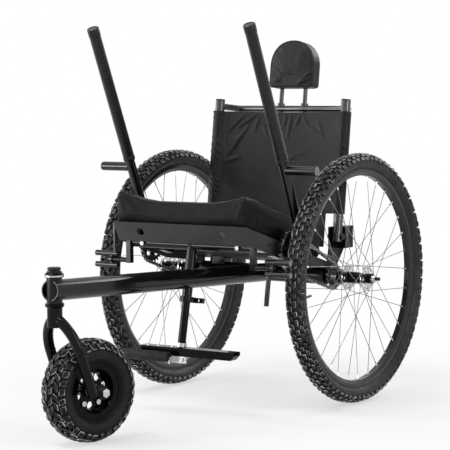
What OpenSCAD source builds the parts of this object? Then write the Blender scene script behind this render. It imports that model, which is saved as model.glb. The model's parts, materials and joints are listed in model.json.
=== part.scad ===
// Three-wheeled all-terrain wheelchair driven by two push levers.
// Forward is -Y, the user's left is +X and the ground is z = 0.
// Places are measured from the rear axle, and place() centres the chair on its own length.

/* [Rear wheels] */
// Outer diameter over the tread
wheel_d = 656; // [630:2:680]
// Width over the tyre's sidewalls
tyre_w = 50; // [46:1:54]
// Distance of a wheel's centre plane from the pan's side
wheel_side = 86; // [84:1:110]
// Height of the tread blocks
lug_h = 6; // [4:0.5:8]
// Number of tread blocks in a row
lug_count = 64; // [56:4:80]
// Radial height of the tyre above the rim's edge
tyre_h = 42; // [38:1:48]
// Thickness of the tyre's casing
casing_t = 3; // [2:0.5:4]
// Width of the rim
rim_w = 26; // [22:1:30]
// Radial height of the rim
rim_h = 17; // [15:1:22]
// Thickness of the rim's walls
rim_wall = 1.8; // [1.4:0.1:2.4]
// Distance between the hub's flanges
flange_gap = 56; // [50:1:62]
// Diameter of the hub's flanges
flange_d = 66; // [60:1:72]
// Thickness of the hub's flanges
flange_t = 3.2; // [2.6:0.1:4]
// Number of spokes
spoke_count = 32; // [24:4:40]
// Diameter of a spoke
spoke_d = 1.8; // [1.6:0.1:2]
// Diameter of the quick-release axle
axle_d = 12; // [10:0.5:14]
// Travel of the axle's release button
button_travel = 5; // [3:0.5:7]

/* [Front caster] */
// Outer diameter over the tread
caster_d = 248; // [236:2:262]
// Width over the tyre's sidewalls
caster_w = 80; // [74:1:86]
// Number of tread blocks in a row
caster_lugs = 32; // [28:4:44]
// Distance from the rear axle forward to the steering axis
steer_reach = 894; // [860:2:940]
// Distance that the caster wheel trails behind the steering axis
caster_trail = 96; // [88:1:104]
// Turn of the caster about the steering axis at rest
caster_turn = -13.5; // [-30:0.5:30]
// Diameter of the caster rim's flanges
caster_rim_d = 138; // [130:1:146]
// Width of the caster rim
caster_rim_w = 54; // [48:1:60]
// Diameter of a fork leg
leg_d = 25; // [22:0.5:28]
// Height of the point where the legs leave the crown
crown_z = 306; // [300:1:312]

/* [Frame] */
// Diameter of the boom
boom_d = 50; // [46:1:56]
// Wall of the boom and of the axle tube
tube_wall = 3; // [2:0.5:4]
// Height of the boom's centre line at the steering axis
boom_front_z = 369; // [360:1:380]
// Length of the boom ahead of the steering axis
boom_nose = 17; // [15:0.5:22]
// Diameter of the head tube
head_tube_d = 37; // [35:0.5:39]
// Diameter of the fork's steerer
steerer_d = 28.6; // [25.4:0.1:30]
// Diameter of the axle tube
axle_tube_d = 45; // [41:1:48]
// Distance of the axle tube's ends inside the pan's sides
axle_tube_in = 8; // [4:1:16]
// Diameter of the seat post
post_d = 26; // [24.5:0.5:30]
// Lean of the seat post, its top to the rear
post_lean = 12; // [8:0.5:16]
// Distance from the rear axle forward to the seat post at the boom
post_reach = 354; // [346:1:360]

/* [Seat] */
// Height of the pan's front edge
pan_front_z = 487; // [480:1:500]
// Distance from the rear axle forward to the pan's front edge
pan_reach = 399; // [392:1:406]
// Tilt of the pan, its front up
pan_tilt = 17; // [15.5:0.5:17.5]
// Width of the pan
pan_w = 412; // [400:1:416]
// Length of the pan's floor
pan_l = 432; // [420:1:436]
// Depth of the pan's sides
pan_side_h = 41; // [36:1:44]
// Thickness of the pan's sheet
pan_t = 3; // [2:0.5:4]
// Lean of the pan's front lip, its foot to the rear
lip_lean = 26; // [20:1:30]
// Diameter of the two holes in the lip
lip_hole_d = 21; // [16:0.5:24]
// Distance between the two holes in the lip
lip_hole_gap = 256; // [220:2:280]
// Diameter of the front crossbar
crossbar_d = 25; // [22:0.5:28]
// Height of the front crossbar
crossbar_z = 429; // [424:1:434]
// Thickness of the cushion at its middle
cushion_t = 61; // [45:1:70]
// How much the cushion's sides stand above its middle
cushion_rise = 27; // [0:1:34]
// Distance of the cushion's sides inside the pan's sides
cushion_in = 2; // [0:0.5:8]
// Length of the cushion
cushion_l = 382; // [366:1:390]
// Lean of the cushion's ends towards the front
cushion_lean = 14; // [0:1:17]

/* [Backrest] */
// Diameter of a back cane
cane_d = 26; // [22:0.5:27]
// Distance of a cane's centre line inside the pan's side
cane_in = 3; // [2:0.5:6]
// Lean of the backrest
back_lean = 8; // [6:0.5:12]
// Distance from the rear axle back to the fold hinge
hinge_back = 46; // [44:1:54]
// Height of the fold hinge
hinge_z = 430; // [426:1:436]
// Length of a cane above the hinge
cane_l = 364; // [350:1:400]
// Height of the sling's lower edge above the hinge
sling_low = 60; // [55:1:80]
// Height of the sling
sling_h = 274; // [250:1:276]
// Height of the flap below the sling
flap_h = 90; // [40:1:110]
// How far the sling hangs back at its middle
sling_sag = 18; // [8:1:30]
// Diameter of the back's top bar
bar_d = 18; // [16:0.5:20]
// How far the top bar bows to the rear
bar_bow = 57; // [45:1:65]

/* [Headrest] */
// Diameter of a headrest rod
rod_d = 12; // [10:0.5:13]
// Distance between the two rods
rod_gap = 76; // [60:1:90]
// Width of the pad
pad_w = 138; // [120:1:160]
// Height of the pad
pad_h = 130; // [110:1:150]
// Thickness of the pad
pad_t = 42; // [34:1:50]
// Gap between the top bar and the pad at rest
pad_lift = 48; // [44:1:60]

/* [Levers] */
// Distance of a lever from the pan's side
lever_side = 34; // [33:0.5:36]
// Lean of the levers at rest
lever_lean = 23.5; // [18:0.5:28]
// Distance that a lever passes behind its pivot
lever_set_back = 28.4; // [26:0.2:30]
// Length of a lever above its pivot
lever_l = 612; // [560:1:660]
// Diameter of a lever
lever_d = 25; // [22:0.5:26]
// Length of a grip
grip_l = 376; // [330:1:390]
// Diameter of a grip
grip_d = 30; // [28:0.5:31]
// Height of the brake peg along the lever
peg_h = 216; // [205:1:220]
// Diameter of the brake peg
peg_d = 24; // [20:0.5:25]
// Distance of the brake peg's outer end from the lever
peg_out = 95; // [85:1:105]

/* [Chain drive] */
// Chain pitch
chain_pitch = 12.7; // [12.5:0.1:12.9]
// Number of links in a chain
chain_links = 56; // [56:2:56]
// Teeth of the lever's chainring
ring_teeth = 24; // [22:2:26]
// Teeth of the wheel's cog
cog_teeth = 16; // [15:1:18]
// Rise of the line from the axle to the lever's pivot
chain_rise = 21.8; // [21:0.2:22.4]
// Distance of the chain from the pan's side
chain_side = 12; // [11:0.5:13]
// Diameter of the lever shaft
shaft_d = 16; // [14:0.5:17]

/* [Parking brakes] */
// Height of a brake's axis
brake_z = 382; // [378:1:388]
// Distance of a peg from the brake's axis
brake_throw = 15; // [14:0.5:17]
// Diameter of a brake peg
brake_peg_d = 15; // [13:0.5:15]
// Distance of the pegs' outer ends from the pan's side
brake_peg_out = 97; // [84:1:104]
// Length of a brake handle
handle_l = 80; // [60:1:90]

/* [Footrest] */
// Diameter of the foot post
foot_post_d = 21; // [19:0.5:22]
// Height of the foot beam's top
foot_z = 172; // [150:1:190]
// Width of the foot beam
foot_w = 290; // [260:2:330]
// Distance of the foot beam's middle to the left of the foot post
foot_shift = 27; // [0:1:40]
// Depth of the foot beam
foot_depth = 28; // [26:1:40]
// Height of the foot beam
foot_h = 21; // [18:0.5:24]
// Diameter of the toe roll
roll_d = 23; // [20:0.5:28]

/* [Hidden] */
$fn = 64;
// Overrun of every cut
overrun = 1;
// Gap between pieces that seat on each other
seat_gap = 0.3;
// Height of a weld bead above its tube
weld = 0.5;
// Radial clearance of a shaft in its bore
run_fit = 0.05;

// Rear wheel
wheel_r = wheel_d / 2;
wheel_x = pan_w / 2 + wheel_side;
rim_r = wheel_r - tyre_h;
rim_in_r = rim_r - rim_h;
bead_depth = 5;
bead_t = 3.5;
bead_half = rim_w / 2 - rim_wall - seat_gap;
rim_neck = 8;
rim_shoulder = 8;
lug_floor = 0.5;
crown_share = 0.2;
shoulder_share = 0.42;
lug_gap_share = 0.38;
flange_r = flange_d / 2;
barrel_r = 15;
hub_cap_r = 13;
hub_cap_l = 16;
flange_hole_d = 9;
flange_holes = 8;
flange_hole_share = 0.72;
spoke_set = 1.9;
spoke_crosses = 3;
nipple_d = 4.4;
nipple_l = 14;
valve_d = 6;
valve_l = 34;
axle_r = axle_d / 2;
collar_d = 19;
collar_l = 11;
button_d = 9;
button_out = 11;
button_floor = 1.6;
button_l = collar_l + button_out - button_travel - button_floor;

// Caster
caster_r = caster_d / 2;
caster_y = -steer_reach + caster_trail * cos(caster_turn);
caster_edge_r = caster_rim_d / 2;
caster_seat_h = 10;
caster_bead_t = 6;
caster_wall = 5;
caster_flange_t = 3;
caster_web_t = 8;
caster_web_set = 6;
caster_hub_d = 34;
caster_bolt_ring_share = 0.62;
caster_ring_r = (caster_edge_r - caster_seat_h) * caster_bolt_ring_share;
caster_bolts_n = 5;
caster_bolt_d = 14;
caster_bolt_h = 5;
caster_axle_d = 12;
caster_nut_d = 22;
caster_window_d = 20;
leg_gap = 5;
leg_x = caster_w / 2 + leg_d / 2 + leg_gap;
leg_start = 25;
leg_in = 7;
leg_ahead = 34;
leg_past = 4;
crown_d = 36;
crown_h = 46;
dropout_t = 7;
dropout_d = 32;
dropout_w = 24;
dropout_set = 4;
front_reach = -caster_y + caster_r * cos(caster_turn) + caster_w * crown_share * abs(sin(caster_turn));
axle_y = (front_reach - wheel_r) / 2;

// Frame
boom_r = boom_d / 2;
boom_slope = atan((boom_front_z - wheel_r) / steer_reach);
boom_len = steer_reach / cos(boom_slope) + boom_nose;
axle_tube_r = axle_tube_d / 2;
axle_tube_l = pan_w - 2 * axle_tube_in;
plug_l = 70;
boss_r = 14;
hub_side = 6.5;
hub_in_x = pan_w / 2 + hub_side;
cup_d = 45;
cup_h = 10;
cup_in = 12;
cup_bevel = 3;
cap_ring_d = 36;
cap_ring_h = 3;
cap_neck_d = 27.5;
cap_neck_h = 3;
cap_d = 31.5;
cap_h = 6.5;
cap_bevel = 1.5;
head_up = 31;
head_low = 30;
post_r = post_d / 2;
post_z = wheel_r + post_reach * tan(boom_slope);
post_low = 60;
crossbar_reach = post_reach - (crossbar_z - post_z) * tan(post_lean);
mount_w = 43;
mount_in = 67;
mount_x = pan_w / 2 - mount_in;
mount_l = 30;
bolt_in = 58;
bolt_x = pan_w / 2 - bolt_in;
bolt_d = 13;
bolt_h = 6;
bolt_shank_d = 8;
lug_w = 26;
lug_t = 14;

// Seat
lip_fold = lip_lean + pan_tilt;
lip_u = pan_side_h * tan(lip_fold);
pan_rear_h = 14;
pan_taper = 175;
side_hole_d = 8;
side_hole_back = 118;
side_hole_low = 19;
cushion_front = 6;
cushion_w = pan_w - 2 * cushion_in;

// Levers
lever_x = pan_w / 2 + lever_side;
peg_wall_cap = 3;
socket_d = 31;
socket_low = 32;
socket_high = 62;
lever_tail = 26;
lever_r = lever_d / 2;
sleeve_d = 32;
sleeve_out = 14;
sleeve_end = lever_x + sleeve_out;
shaft_r = shaft_d / 2;
shaft_nut_d = 24;
shaft_nut_l = 8;
block_in = 34;
block_x = pan_w / 2 - block_in;
block_w = 24;
block_l = 40;
block_h = 30;

// Chain
chain_x = pan_w / 2 + chain_side;
ring_r = chain_pitch / (2 * sin(180 / ring_teeth));
cog_r = chain_pitch / (2 * sin(180 / cog_teeth));
mid_teeth = chain_links - (ring_teeth + cog_teeth) / 2;
teeth_step = (ring_teeth - cog_teeth) / (2 * PI);
drive_l = chain_pitch / 4 * (mid_teeth + sqrt(pow(mid_teeth, 2) - 8 * pow(teeth_step, 2)));
chain_cant = asin((ring_r - cog_r) / drive_l);
ring_wrap = (180 + 2 * chain_cant) / (360 / ring_teeth);
cog_wrap = (180 - 2 * chain_cant) / (360 / cog_teeth);
run_links = (chain_links - ring_wrap - cog_wrap) / 2;
pivot_y = -drive_l * cos(chain_rise);
pivot_z = wheel_r + drive_l * sin(chain_rise);
sprocket_t = 2;
tooth_h = 2;
tooth_tip = 1.8;
roller_d = 7.7;
roller_gap = 0.6;
chain_in_w = 3.2;
plate_t = 1;
plate_h = 8.4;
pin_d = 3.6;
link_gap = 0.2;
window_n = 5;
window_d = 17;
window_share = 0.6;
free_d = 44;
free_l = 22;
spider_d = 46;
spider_t = 3;

// Parking brakes
bracket_w = 14;
bracket_in = 13;
bracket_x = pan_w / 2 - bracket_in;
bracket_top = 442;
bracket_low = 375;
arm_d = 13;
brake_gap = 0.6;
tyre_front = sqrt(pow(wheel_r, 2) - pow(brake_z - wheel_r, 2));
brake_y = -tyre_front - brake_gap - brake_peg_d / 2 - brake_throw;
brake_side = 25;
brake_in_x = pan_w / 2 + brake_side;
brake_peg_x = pan_w / 2 + brake_peg_out;
yoke_set = 21;
yoke_x = brake_in_x + yoke_set;
yoke_t = 10;
yoke_w = 20;
yoke_web = 11;
arm_past = 10;
arm_end_x = yoke_x + arm_past;
handle_d = 12.5;
handle_set = 8;
handle_lean = 10;

// Backrest
cane_x = pan_w / 2 - cane_in;
cane_r = cane_d / 2;
cane_tail = 14;
cap_t = 3;
cloth_t = 2;
flap_in = 38;
bar_set = 16;
bar_h = cane_l - bar_set;
bar_in = 26;
rod_r = rod_d / 2;
collar_wall = 4;
rod_collar_h = 12;
rod_low = 110;
hinge_bolt_d = 10;
hinge_head_d = 17;
hinge_head_l = 6;
plate_w = 5;
back_plate_front = 16;
back_plate_rear = 62;
back_plate_up = 26;
back_plate_low = 33;
back_block_front = 21;
foot_front = 10;
foot_tab = 24;

// Footrest
foot_post_r = foot_post_d / 2;
foot_dir_y = -post_reach - (post_z - foot_z) * tan(post_lean);
foot_t = 3;
foot_set = 2;
foot_bevel = 12;
foot_edge = 9;
foot_top = 8;
foot_front_y = foot_dir_y - foot_set - foot_depth / 2;
boss_d = 25;
boss_l = 17;
foot_collar_h = 10;
roll_x0 = -168;
roll_x1 = -15;
roll_arm = 3;
roll_drop = 22.5;
roll_rod_d = 10;
roll_y = foot_front_y - roll_arm - seat_gap - roll_d / 2;
roll_plate_l = 40;
roll_plate_t = 4;
roll_plate_h = 17;
arm_t = 5;
clamp_wall = 5;
clamp_h = 14;
ear_w = 20;
ear_l = 14;
slot_w = 2.5;
skewer_d = 6;
skewer_nut_d = 14;
skewer_nut_l = 8;
cam_d = 14;
cam_h = 13;
cam_pin_d = 5;
cam_lever_l = 20;
cam_lever_t = 7;
cam_slot_l = 22;

// Frames that the sub-parts are drawn in
module place() translate([0, axle_y, 0]) children();
module right() mirror([1, 0, 0]) children();
module both_sides() {
    children();
    right() children();
}
module at_wheel() translate([wheel_x, 0, wheel_r]) children();
module at_boom() translate([0, 0, wheel_r]) rotate([90 - boom_slope, 0, 0]) children();
module at_post() translate([0, -post_reach, post_z]) rotate([-post_lean, 0, 0]) children();
module at_foot() at_post() translate([0, 0, -(post_z - foot_z) / cos(post_lean)]) children();
module at_pan() translate([0, -pan_reach, pan_front_z]) rotate([-pan_tilt, 0, 0]) children();
module at_back() translate([0, hinge_back, hinge_z]) rotate([-back_lean, 0, 0]) children();
module at_pivot() translate([lever_x, pivot_y, pivot_z]) rotate([lever_lean, 0, 0]) children();
module at_drive() {
    translate([chain_x, 0, wheel_r]) rotate([-chain_rise, 0, 0]) rotate([90, 0, -90]) children();
}
module at_brake() translate([0, brake_y, brake_z]) children();
module at_caster() translate([0, -steer_reach, 0]) rotate([0, 0, caster_turn]) children();
module at_caster_axle() at_caster() translate([0, caster_trail, caster_r]) children();

// A round bar along X from x0 to x1
module bar_x(r, x0, x1) translate([x0, 0, 0]) rotate([0, 90, 0]) cylinder(r = r, h = x1 - x0);

// A round bar between two points
module rod(p, q, r) {
    d = q - p;
    translate(p) rotate([0, acos(d[2] / norm(d)), atan2(d[1], d[0])]) cylinder(r = r, h = norm(d));
}

// Tyres: casing section as [radius, width], its air space, and the rings of tread blocks
module casing_section(r, w, lug, edge_r, bead_r, half) {
    side = w / 2;
    mid = r - lug - side;
    intersection() {
        translate([mid, 0]) circle(r = side);
        translate([mid, -side]) square([side, w]);
    }
    translate([mid, -w * crown_share]) square([side, 2 * w * crown_share]);
    translate([mid, -w * shoulder_share]) square([side - lug, 2 * w * shoulder_share]);
    polygon([[mid, -side], [mid, side], [edge_r + seat_gap, half], [edge_r + seat_gap, -half]]);
    translate([bead_r, -half]) square([mid - bead_r, 2 * half]);
}
module air_section(r, w, lug, edge_r, bead_r, half, wall, bead) {
    side = w / 2;
    mid = r - lug - side;
    intersection() {
        translate([mid, 0]) circle(r = side - wall);
        translate([mid, -side]) square([side, w]);
    }
    polygon([
        [mid, wall - side], [mid, side - wall],
        [edge_r + seat_gap, half - bead], [edge_r + seat_gap, bead - half]
    ]);
    translate([bead_r - overrun, bead - half]) square([mid - bead_r + overrun, 2 * (half - bead)]);
}
module lug_ring(tip_r, root_r, in_r, w, n, phase) {
    gap = lug_gap_share * 2 * PI * tip_r / n;
    linear_extrude(height = w) difference() {
        circle(r = tip_r);
        circle(r = in_r);
        for (k = [0 : n - 1])
            rotate((k + phase) * 360 / n)
                translate([root_r, -gap / 2]) square([tip_r - root_r + overrun, gap]);
    }
}
module tyre(r, w, lug, lugs, edge_r, bead_r, half, wall, bead) {
    crown = r - lug;
    inner = w * crown_share;
    outer = w * shoulder_share;
    rotate([0, 90, 0]) difference() {
        union() {
            rotate_extrude() casing_section(r, w, lug, edge_r, bead_r, half);
            translate([0, 0, -inner])
                lug_ring(r, crown + lug_floor, crown - lug_floor, 2 * inner, lugs, 0.5);
            for (s = [-1, 1])
                translate([0, 0, s * (inner + outer + lug_floor) / 2 - (outer - inner - lug_floor) / 2])
                    lug_ring(crown, crown - lug + lug_floor, crown - lug - lug_floor,
                        outer - inner - lug_floor, lugs, 0);
        }
        rotate_extrude() air_section(r, w, lug, edge_r, bead_r, half, wall, bead);
    }
}

// Rear wheel
module rear_tyre() {
    color("#1b1b1b") at_wheel()
        tyre(wheel_r, tyre_w, lug_h, lug_count, rim_r, rim_r - bead_depth, bead_half, casing_t, bead_t);
}
module rim_section() {
    floor_r = rim_r - bead_depth - seat_gap;
    half = rim_w / 2;
    difference() {
        polygon([
            [rim_in_r, -rim_neck], [rim_r - rim_shoulder, -half], [rim_r, -half],
            [rim_r, half], [rim_r - rim_shoulder, half], [rim_in_r, rim_neck]
        ]);
        translate([floor_r, rim_wall - half]) square([bead_depth + seat_gap + overrun, rim_w - 2 * rim_wall]);
        polygon([
            [rim_in_r + rim_wall, rim_wall - rim_neck], [floor_r - 2 * rim_wall, 2 * rim_wall - half],
            [floor_r - rim_wall, 2 * rim_wall - half], [floor_r - rim_wall, half - 2 * rim_wall],
            [floor_r - 2 * rim_wall, half - 2 * rim_wall], [rim_in_r + rim_wall, rim_neck - rim_wall]
        ]);
    }
}
module rear_rim() {
    color("#26262a") at_wheel() {
        rotate([0, 90, 0]) rotate_extrude() rim_section();
        rotate([180 / spoke_count, 0, 0]) translate([0, -rim_in_r - rim_wall / 2, 0]) rotate([-90, 0, 0])
            cylinder(d = valve_d, h = valve_l);
    }
}
module spoke(side, set, hub_angle, rim_angle) {
    start_r = flange_r + spoke_d / 2 + seat_gap;
    end_r = rim_in_r - seat_gap;
    p = [side * flange_gap / 2 + set, start_r * cos(hub_angle), start_r * sin(hub_angle)];
    q = [0, end_r * cos(rim_angle), end_r * sin(rim_angle)];
    v = (p - q) / norm(p - q);
    rod(q + v * nipple_d, p, spoke_d / 2);
    rod(q + v * seat_gap, q + v * nipple_l, nipple_d / 2);
}
module spokes() {
    pairs = spoke_count / 4;
    sweep = spoke_crosses * 720 / spoke_count;
    color("silver") at_wheel()
        for (side = [-1, 1])
            for (k = [0 : pairs - 1]) {
                turn = k * 360 / pairs + (1 + side) * 90 / spoke_count * 2;
                spoke(side, spoke_set, turn, turn + sweep);
                spoke(side, -spoke_set, turn + 180 / pairs, turn + 180 / pairs - sweep);
            }
}
module hub() {
    half = flange_gap / 2;
    boss_l = wheel_x - hub_in_x;
    color("#202024") at_wheel() difference() {
        union() {
            bar_x(barrel_r, -half, half);
            for (s = [-1, 1]) translate([s * half, 0, 0]) bar_x(flange_r, -flange_t / 2, flange_t / 2);
            bar_x(hub_cap_r, half, half + hub_cap_l);
            bar_x(barrel_r, -boss_l, -half);
        }
        bar_x(axle_r + run_fit, -boss_l - overrun, half + hub_cap_l + overrun);
        for (s = [-1, 1])
            for (k = [0 : flange_holes - 1])
                rotate([k * 360 / flange_holes, 0, 0])
                    translate([s * half, 0, flange_r * flange_hole_share])
                        bar_x(flange_hole_d / 2, -flange_t, flange_t);
    }
}
module axle() {
    out_x = wheel_x + flange_gap / 2 + hub_cap_l + seat_gap;
    color("silver") translate([0, 0, wheel_r]) difference() {
        union() {
            bar_x(axle_r, axle_tube_l / 2 - plug_l + overrun, out_x);
            bar_x(collar_d / 2, out_x, out_x + collar_l);
        }
        bar_x(button_d / 2 + run_fit, out_x + collar_l + button_out - button_l - button_travel - overrun,
            out_x + collar_l + overrun);
    }
}
module button() {
    out_x = wheel_x + flange_gap / 2 + hub_cap_l + seat_gap + collar_l + button_out;
    color("#1a1a1a") translate([0, 0, wheel_r]) bar_x(button_d / 2, out_x - button_l, out_x);
}
module wheel_axles() {
    place() both_sides() axle();
}

// Front caster
module caster_tyre() {
    half = caster_rim_w / 2 - caster_flange_t - seat_gap;
    color("#1c1c1c") place() at_caster_axle()
        tyre(caster_r, caster_w, lug_h, caster_lugs, caster_edge_r, caster_edge_r - caster_seat_h, half,
            caster_wall, caster_bead_t);
}
module caster_rim() {
    seat_r = caster_edge_r - caster_seat_h - seat_gap;
    half = caster_rim_w / 2;
    hub_half = leg_x - dropout_set - dropout_t / 2 - 2 * seat_gap;
    color("#222226") place() at_caster_axle() difference() {
        union() {
            for (s = [-1, 1])
                translate([s * (half - caster_flange_t / 2), 0, 0])
                    bar_x(caster_edge_r, -caster_flange_t / 2, caster_flange_t / 2);
            bar_x(seat_r, -half, half);
            bar_x(caster_hub_d / 2, -hub_half, hub_half);
        }
        difference() {
            bar_x(seat_r - caster_wall, -half - overrun, half + overrun);
            bar_x(caster_hub_d / 2, -half - 2 * overrun, half + 2 * overrun);
            bar_x(seat_r, caster_web_set - caster_web_t, caster_web_set);
        }
        bar_x(caster_axle_d / 2 + run_fit, -hub_half - overrun, hub_half + overrun);
        for (k = [0 : caster_bolts_n - 1])
            rotate([(k + 0.5) * 360 / caster_bolts_n, 0, 0])
                translate([caster_web_set, 0, caster_ring_r])
                    bar_x(caster_window_d / 2, -caster_web_t - overrun, overrun);
    }
}
module caster_bolts() {
    color("silver") place() at_caster_axle()
        for (k = [0 : caster_bolts_n - 1])
            rotate([k * 360 / caster_bolts_n, 0, 0]) translate([caster_web_set + seat_gap, 0, caster_ring_r])
                rotate([0, 90, 0]) cylinder(d = caster_bolt_d, h = caster_bolt_h, $fn = 6);
}
module caster_axle() {
    reach = leg_x - dropout_set + dropout_t / 2 + seat_gap;
    color("silver") place() at_caster_axle() {
        bar_x(caster_axle_d / 2, -reach - overrun, reach + overrun);
        for (s = [-1, 1])
            translate([s * (reach + caster_bolt_h), 0, 0]) rotate([0, 90, 0])
                cylinder(d = caster_nut_d, h = 2 * caster_bolt_h, center = true, $fn = 6);
    }
}
module fork_leg() {
    drop = crown_z - caster_r;
    lean = atan((caster_trail - leg_ahead) / drop);
    leg_l = (drop + leg_past) / cos(lean);
    sweep_r = leg_x / (1 - sin(leg_start));
    sweep_h = sweep_r * cos(leg_start);
    translate([0, 0, crown_z]) rotate([lean, 0, 0]) {
        translate([leg_x - sweep_r, 0, -sweep_h]) rotate([90, 0, 0])
            rotate_extrude(angle = acos(sin(leg_start) + leg_in / sweep_r))
                translate([sweep_r, 0]) circle(d = leg_d);
        translate([leg_x, 0, -leg_l]) cylinder(d = leg_d, h = leg_l - sweep_h);
        translate([leg_x, 0, -sweep_h]) cylinder(d = leg_d + 2 * weld, h = 4 * weld, center = true);
    }
}
module caster_fork() {
    crown_top = boom_front_z - head_low - cup_h - seat_gap;
    steerer_top = boom_front_z + head_up + cup_h;
    color("#161616") place() difference() {
        union() {
            at_caster() {
                both_sides() fork_leg();
                translate([0, 0, crown_top - crown_h]) cylinder(d = crown_d, h = crown_h);
                translate([0, 0, crown_z]) cylinder(d = steerer_d, h = steerer_top - crown_z);
            }
            at_caster_axle() both_sides() translate([leg_x - dropout_set - dropout_t / 2, 0, 0]) {
                bar_x(dropout_d / 2, 0, dropout_t);
                translate([0, -leg_ahead, -leg_past]) cube([dropout_t, leg_ahead, dropout_w]);
            }
        }
        at_caster_axle() bar_x(caster_axle_d / 2 + seat_gap, -leg_x - leg_d, leg_x + leg_d);
    }
}
module steerer_cap() {
    base = boom_front_z + head_up + cup_h + seat_gap;
    neck = cap_ring_h + cap_neck_h;
    top = neck + cap_h;
    color("#18181a") place() at_caster() translate([0, 0, base]) rotate_extrude() polygon([
        [0, 0], [cap_ring_d / 2, 0], [cap_ring_d / 2, cap_ring_h], [cap_neck_d / 2, cap_ring_h],
        [cap_neck_d / 2, neck], [cap_d / 2, neck], [cap_d / 2, top - cap_bevel],
        [cap_d / 2 - cap_bevel, top], [0, top]
    ]);
}

// Frame
module main_boom() {
    color("#141416") place() difference() {
        at_boom() difference() {
            cylinder(r = boom_r, h = boom_len);
            translate([0, 0, -overrun]) cylinder(r = boom_r - tube_wall, h = boom_len + 2 * overrun);
        }
        translate([0, 0, wheel_r]) bar_x(axle_tube_r + seat_gap, -boom_d, boom_d);
        translate([0, -steer_reach, 0]) cylinder(d = head_tube_d + 2 * seat_gap, h = 2 * boom_front_z);
        at_post() cylinder(r = post_r + seat_gap, h = 4 * boom_d, center = true);
    }
}
module head_tube() {
    color("#141416") place() translate([0, -steer_reach, boom_front_z - head_low]) difference() {
        cylinder(d = head_tube_d, h = head_low + head_up);
        translate([0, 0, -overrun])
            cylinder(d = steerer_d + 2 * tube_wall, h = head_low + head_up + 2 * overrun);
    }
}
module cup() {
    bore_r = steerer_d / 2 + run_fit;
    stem_r = steerer_d / 2 + tube_wall - seat_gap;
    rotate_extrude() polygon([
        [bore_r, -cup_in], [stem_r, -cup_in], [stem_r, 0], [cup_d / 2, 0],
        [cup_d / 2, cup_h - cup_bevel], [cup_d / 2 - cup_bevel, cup_h], [bore_r, cup_h]
    ]);
}
module headset_cups() {
    color("#2a2a2c") place() translate([0, -steer_reach, boom_front_z]) {
        translate([0, 0, head_up]) cup();
        translate([0, 0, -head_low]) mirror([0, 0, 1]) cup();
    }
}
module axle_tube() {
    half = axle_tube_l / 2;
    color("#141416") place() translate([0, 0, wheel_r]) difference() {
        union() {
            bar_x(axle_tube_r, -half, half);
            bar_x(boss_r, seat_gap - hub_in_x, hub_in_x - seat_gap);
        }
        bar_x(axle_tube_r - tube_wall, plug_l - half, half - plug_l);
        bar_x(axle_r + run_fit, -hub_in_x, hub_in_x);
    }
}
module seat_post() {
    top = (crossbar_z - post_z) / cos(post_lean);
    color("#141416") place() difference() {
        at_post() difference() {
            translate([0, 0, -post_low]) cylinder(r = post_r, h = post_low + top);
            translate([0, 0, -post_low - overrun])
                cylinder(r = foot_post_r + run_fit, h = post_low + top - crossbar_d);
        }
        translate([0, -crossbar_reach, crossbar_z]) bar_x(crossbar_d / 2 + seat_gap, -post_d, post_d);
    }
}
module seat_crossbar() {
    half = bracket_x - bracket_w / 2 - seat_gap;
    color("#141416") place() difference() {
        union() {
            translate([0, -crossbar_reach, crossbar_z]) bar_x(crossbar_d / 2, -half, half);
            both_sides() translate([bolt_x - lug_w / 2, -crossbar_reach - lug_t / 2, crossbar_z])
                cube([lug_w, lug_t, crossbar_d * 2]);
        }
        at_pan() translate([-pan_w / 2, -pan_l, -pan_t - seat_gap]) cube([pan_w, 2 * pan_l, pan_l]);
        both_sides() translate([bolt_x, -crossbar_reach, crossbar_z]) rotate([90, 0, 0])
            cylinder(d = bolt_shank_d + 2 * seat_gap, h = 2 * crossbar_d, center = true);
    }
}
module pan_bolts() {
    face = crossbar_d / 2 + seat_gap;
    color("silver") place() both_sides()
        translate([bolt_x, -crossbar_reach, crossbar_z]) rotate([90, 0, 0]) {
            translate([0, 0, -face]) cylinder(d = bolt_shank_d, h = 2 * face + overrun);
            translate([0, 0, face]) cylinder(d = bolt_d, h = bolt_h, $fn = 6);
            translate([0, 0, -face - bolt_h]) cylinder(d = bolt_d, h = bolt_h, $fn = 6);
        }
}
module seat_mounts() {
    color("#141416") place() difference() {
        both_sides() translate([mount_x - mount_w / 2, -mount_l / 2, wheel_r])
            cube([mount_w, mount_l, axle_tube_d]);
        translate([0, 0, wheel_r]) bar_x(axle_tube_r + seat_gap, -pan_w, pan_w);
        at_pan() translate([-pan_w / 2, -pan_l, -pan_t - seat_gap]) cube([pan_w, 3 * pan_l, pan_l]);
    }
}
module pan_side_outline() {
    polygon([
        [0, 0], [pan_l, 0], [pan_l, -pan_rear_h], [pan_l - pan_taper, -pan_side_h], [lip_u, -pan_side_h]
    ]);
}
module pan_shell(inset) {
    rotate([90, 0, 90]) translate([0, 0, inset - pan_w / 2])
        linear_extrude(height = pan_w - 2 * inset) pan_side_outline();
}
module seat_pan() {
    color("#303032") place() difference() {
        at_pan() difference() {
            pan_shell(0);
            translate([0, pan_t * (1 + sin(lip_fold)) / cos(lip_fold), -pan_t]) pan_shell(pan_t);
            for (s = [-1, 1])
                translate([s * lip_hole_gap / 2, lip_u / 2, -pan_side_h / 2])
                    rotate([90 + lip_fold, 0, 0])
                        cylinder(d = lip_hole_d, h = 4 * pan_t, center = true);
            translate([0, side_hole_back, -side_hole_low]) bar_x(side_hole_d / 2, -pan_w, pan_w);
        }
        translate([0, pivot_y, pivot_z]) bar_x(shaft_r + overrun, -pan_w, pan_w);
    }
}

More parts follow.
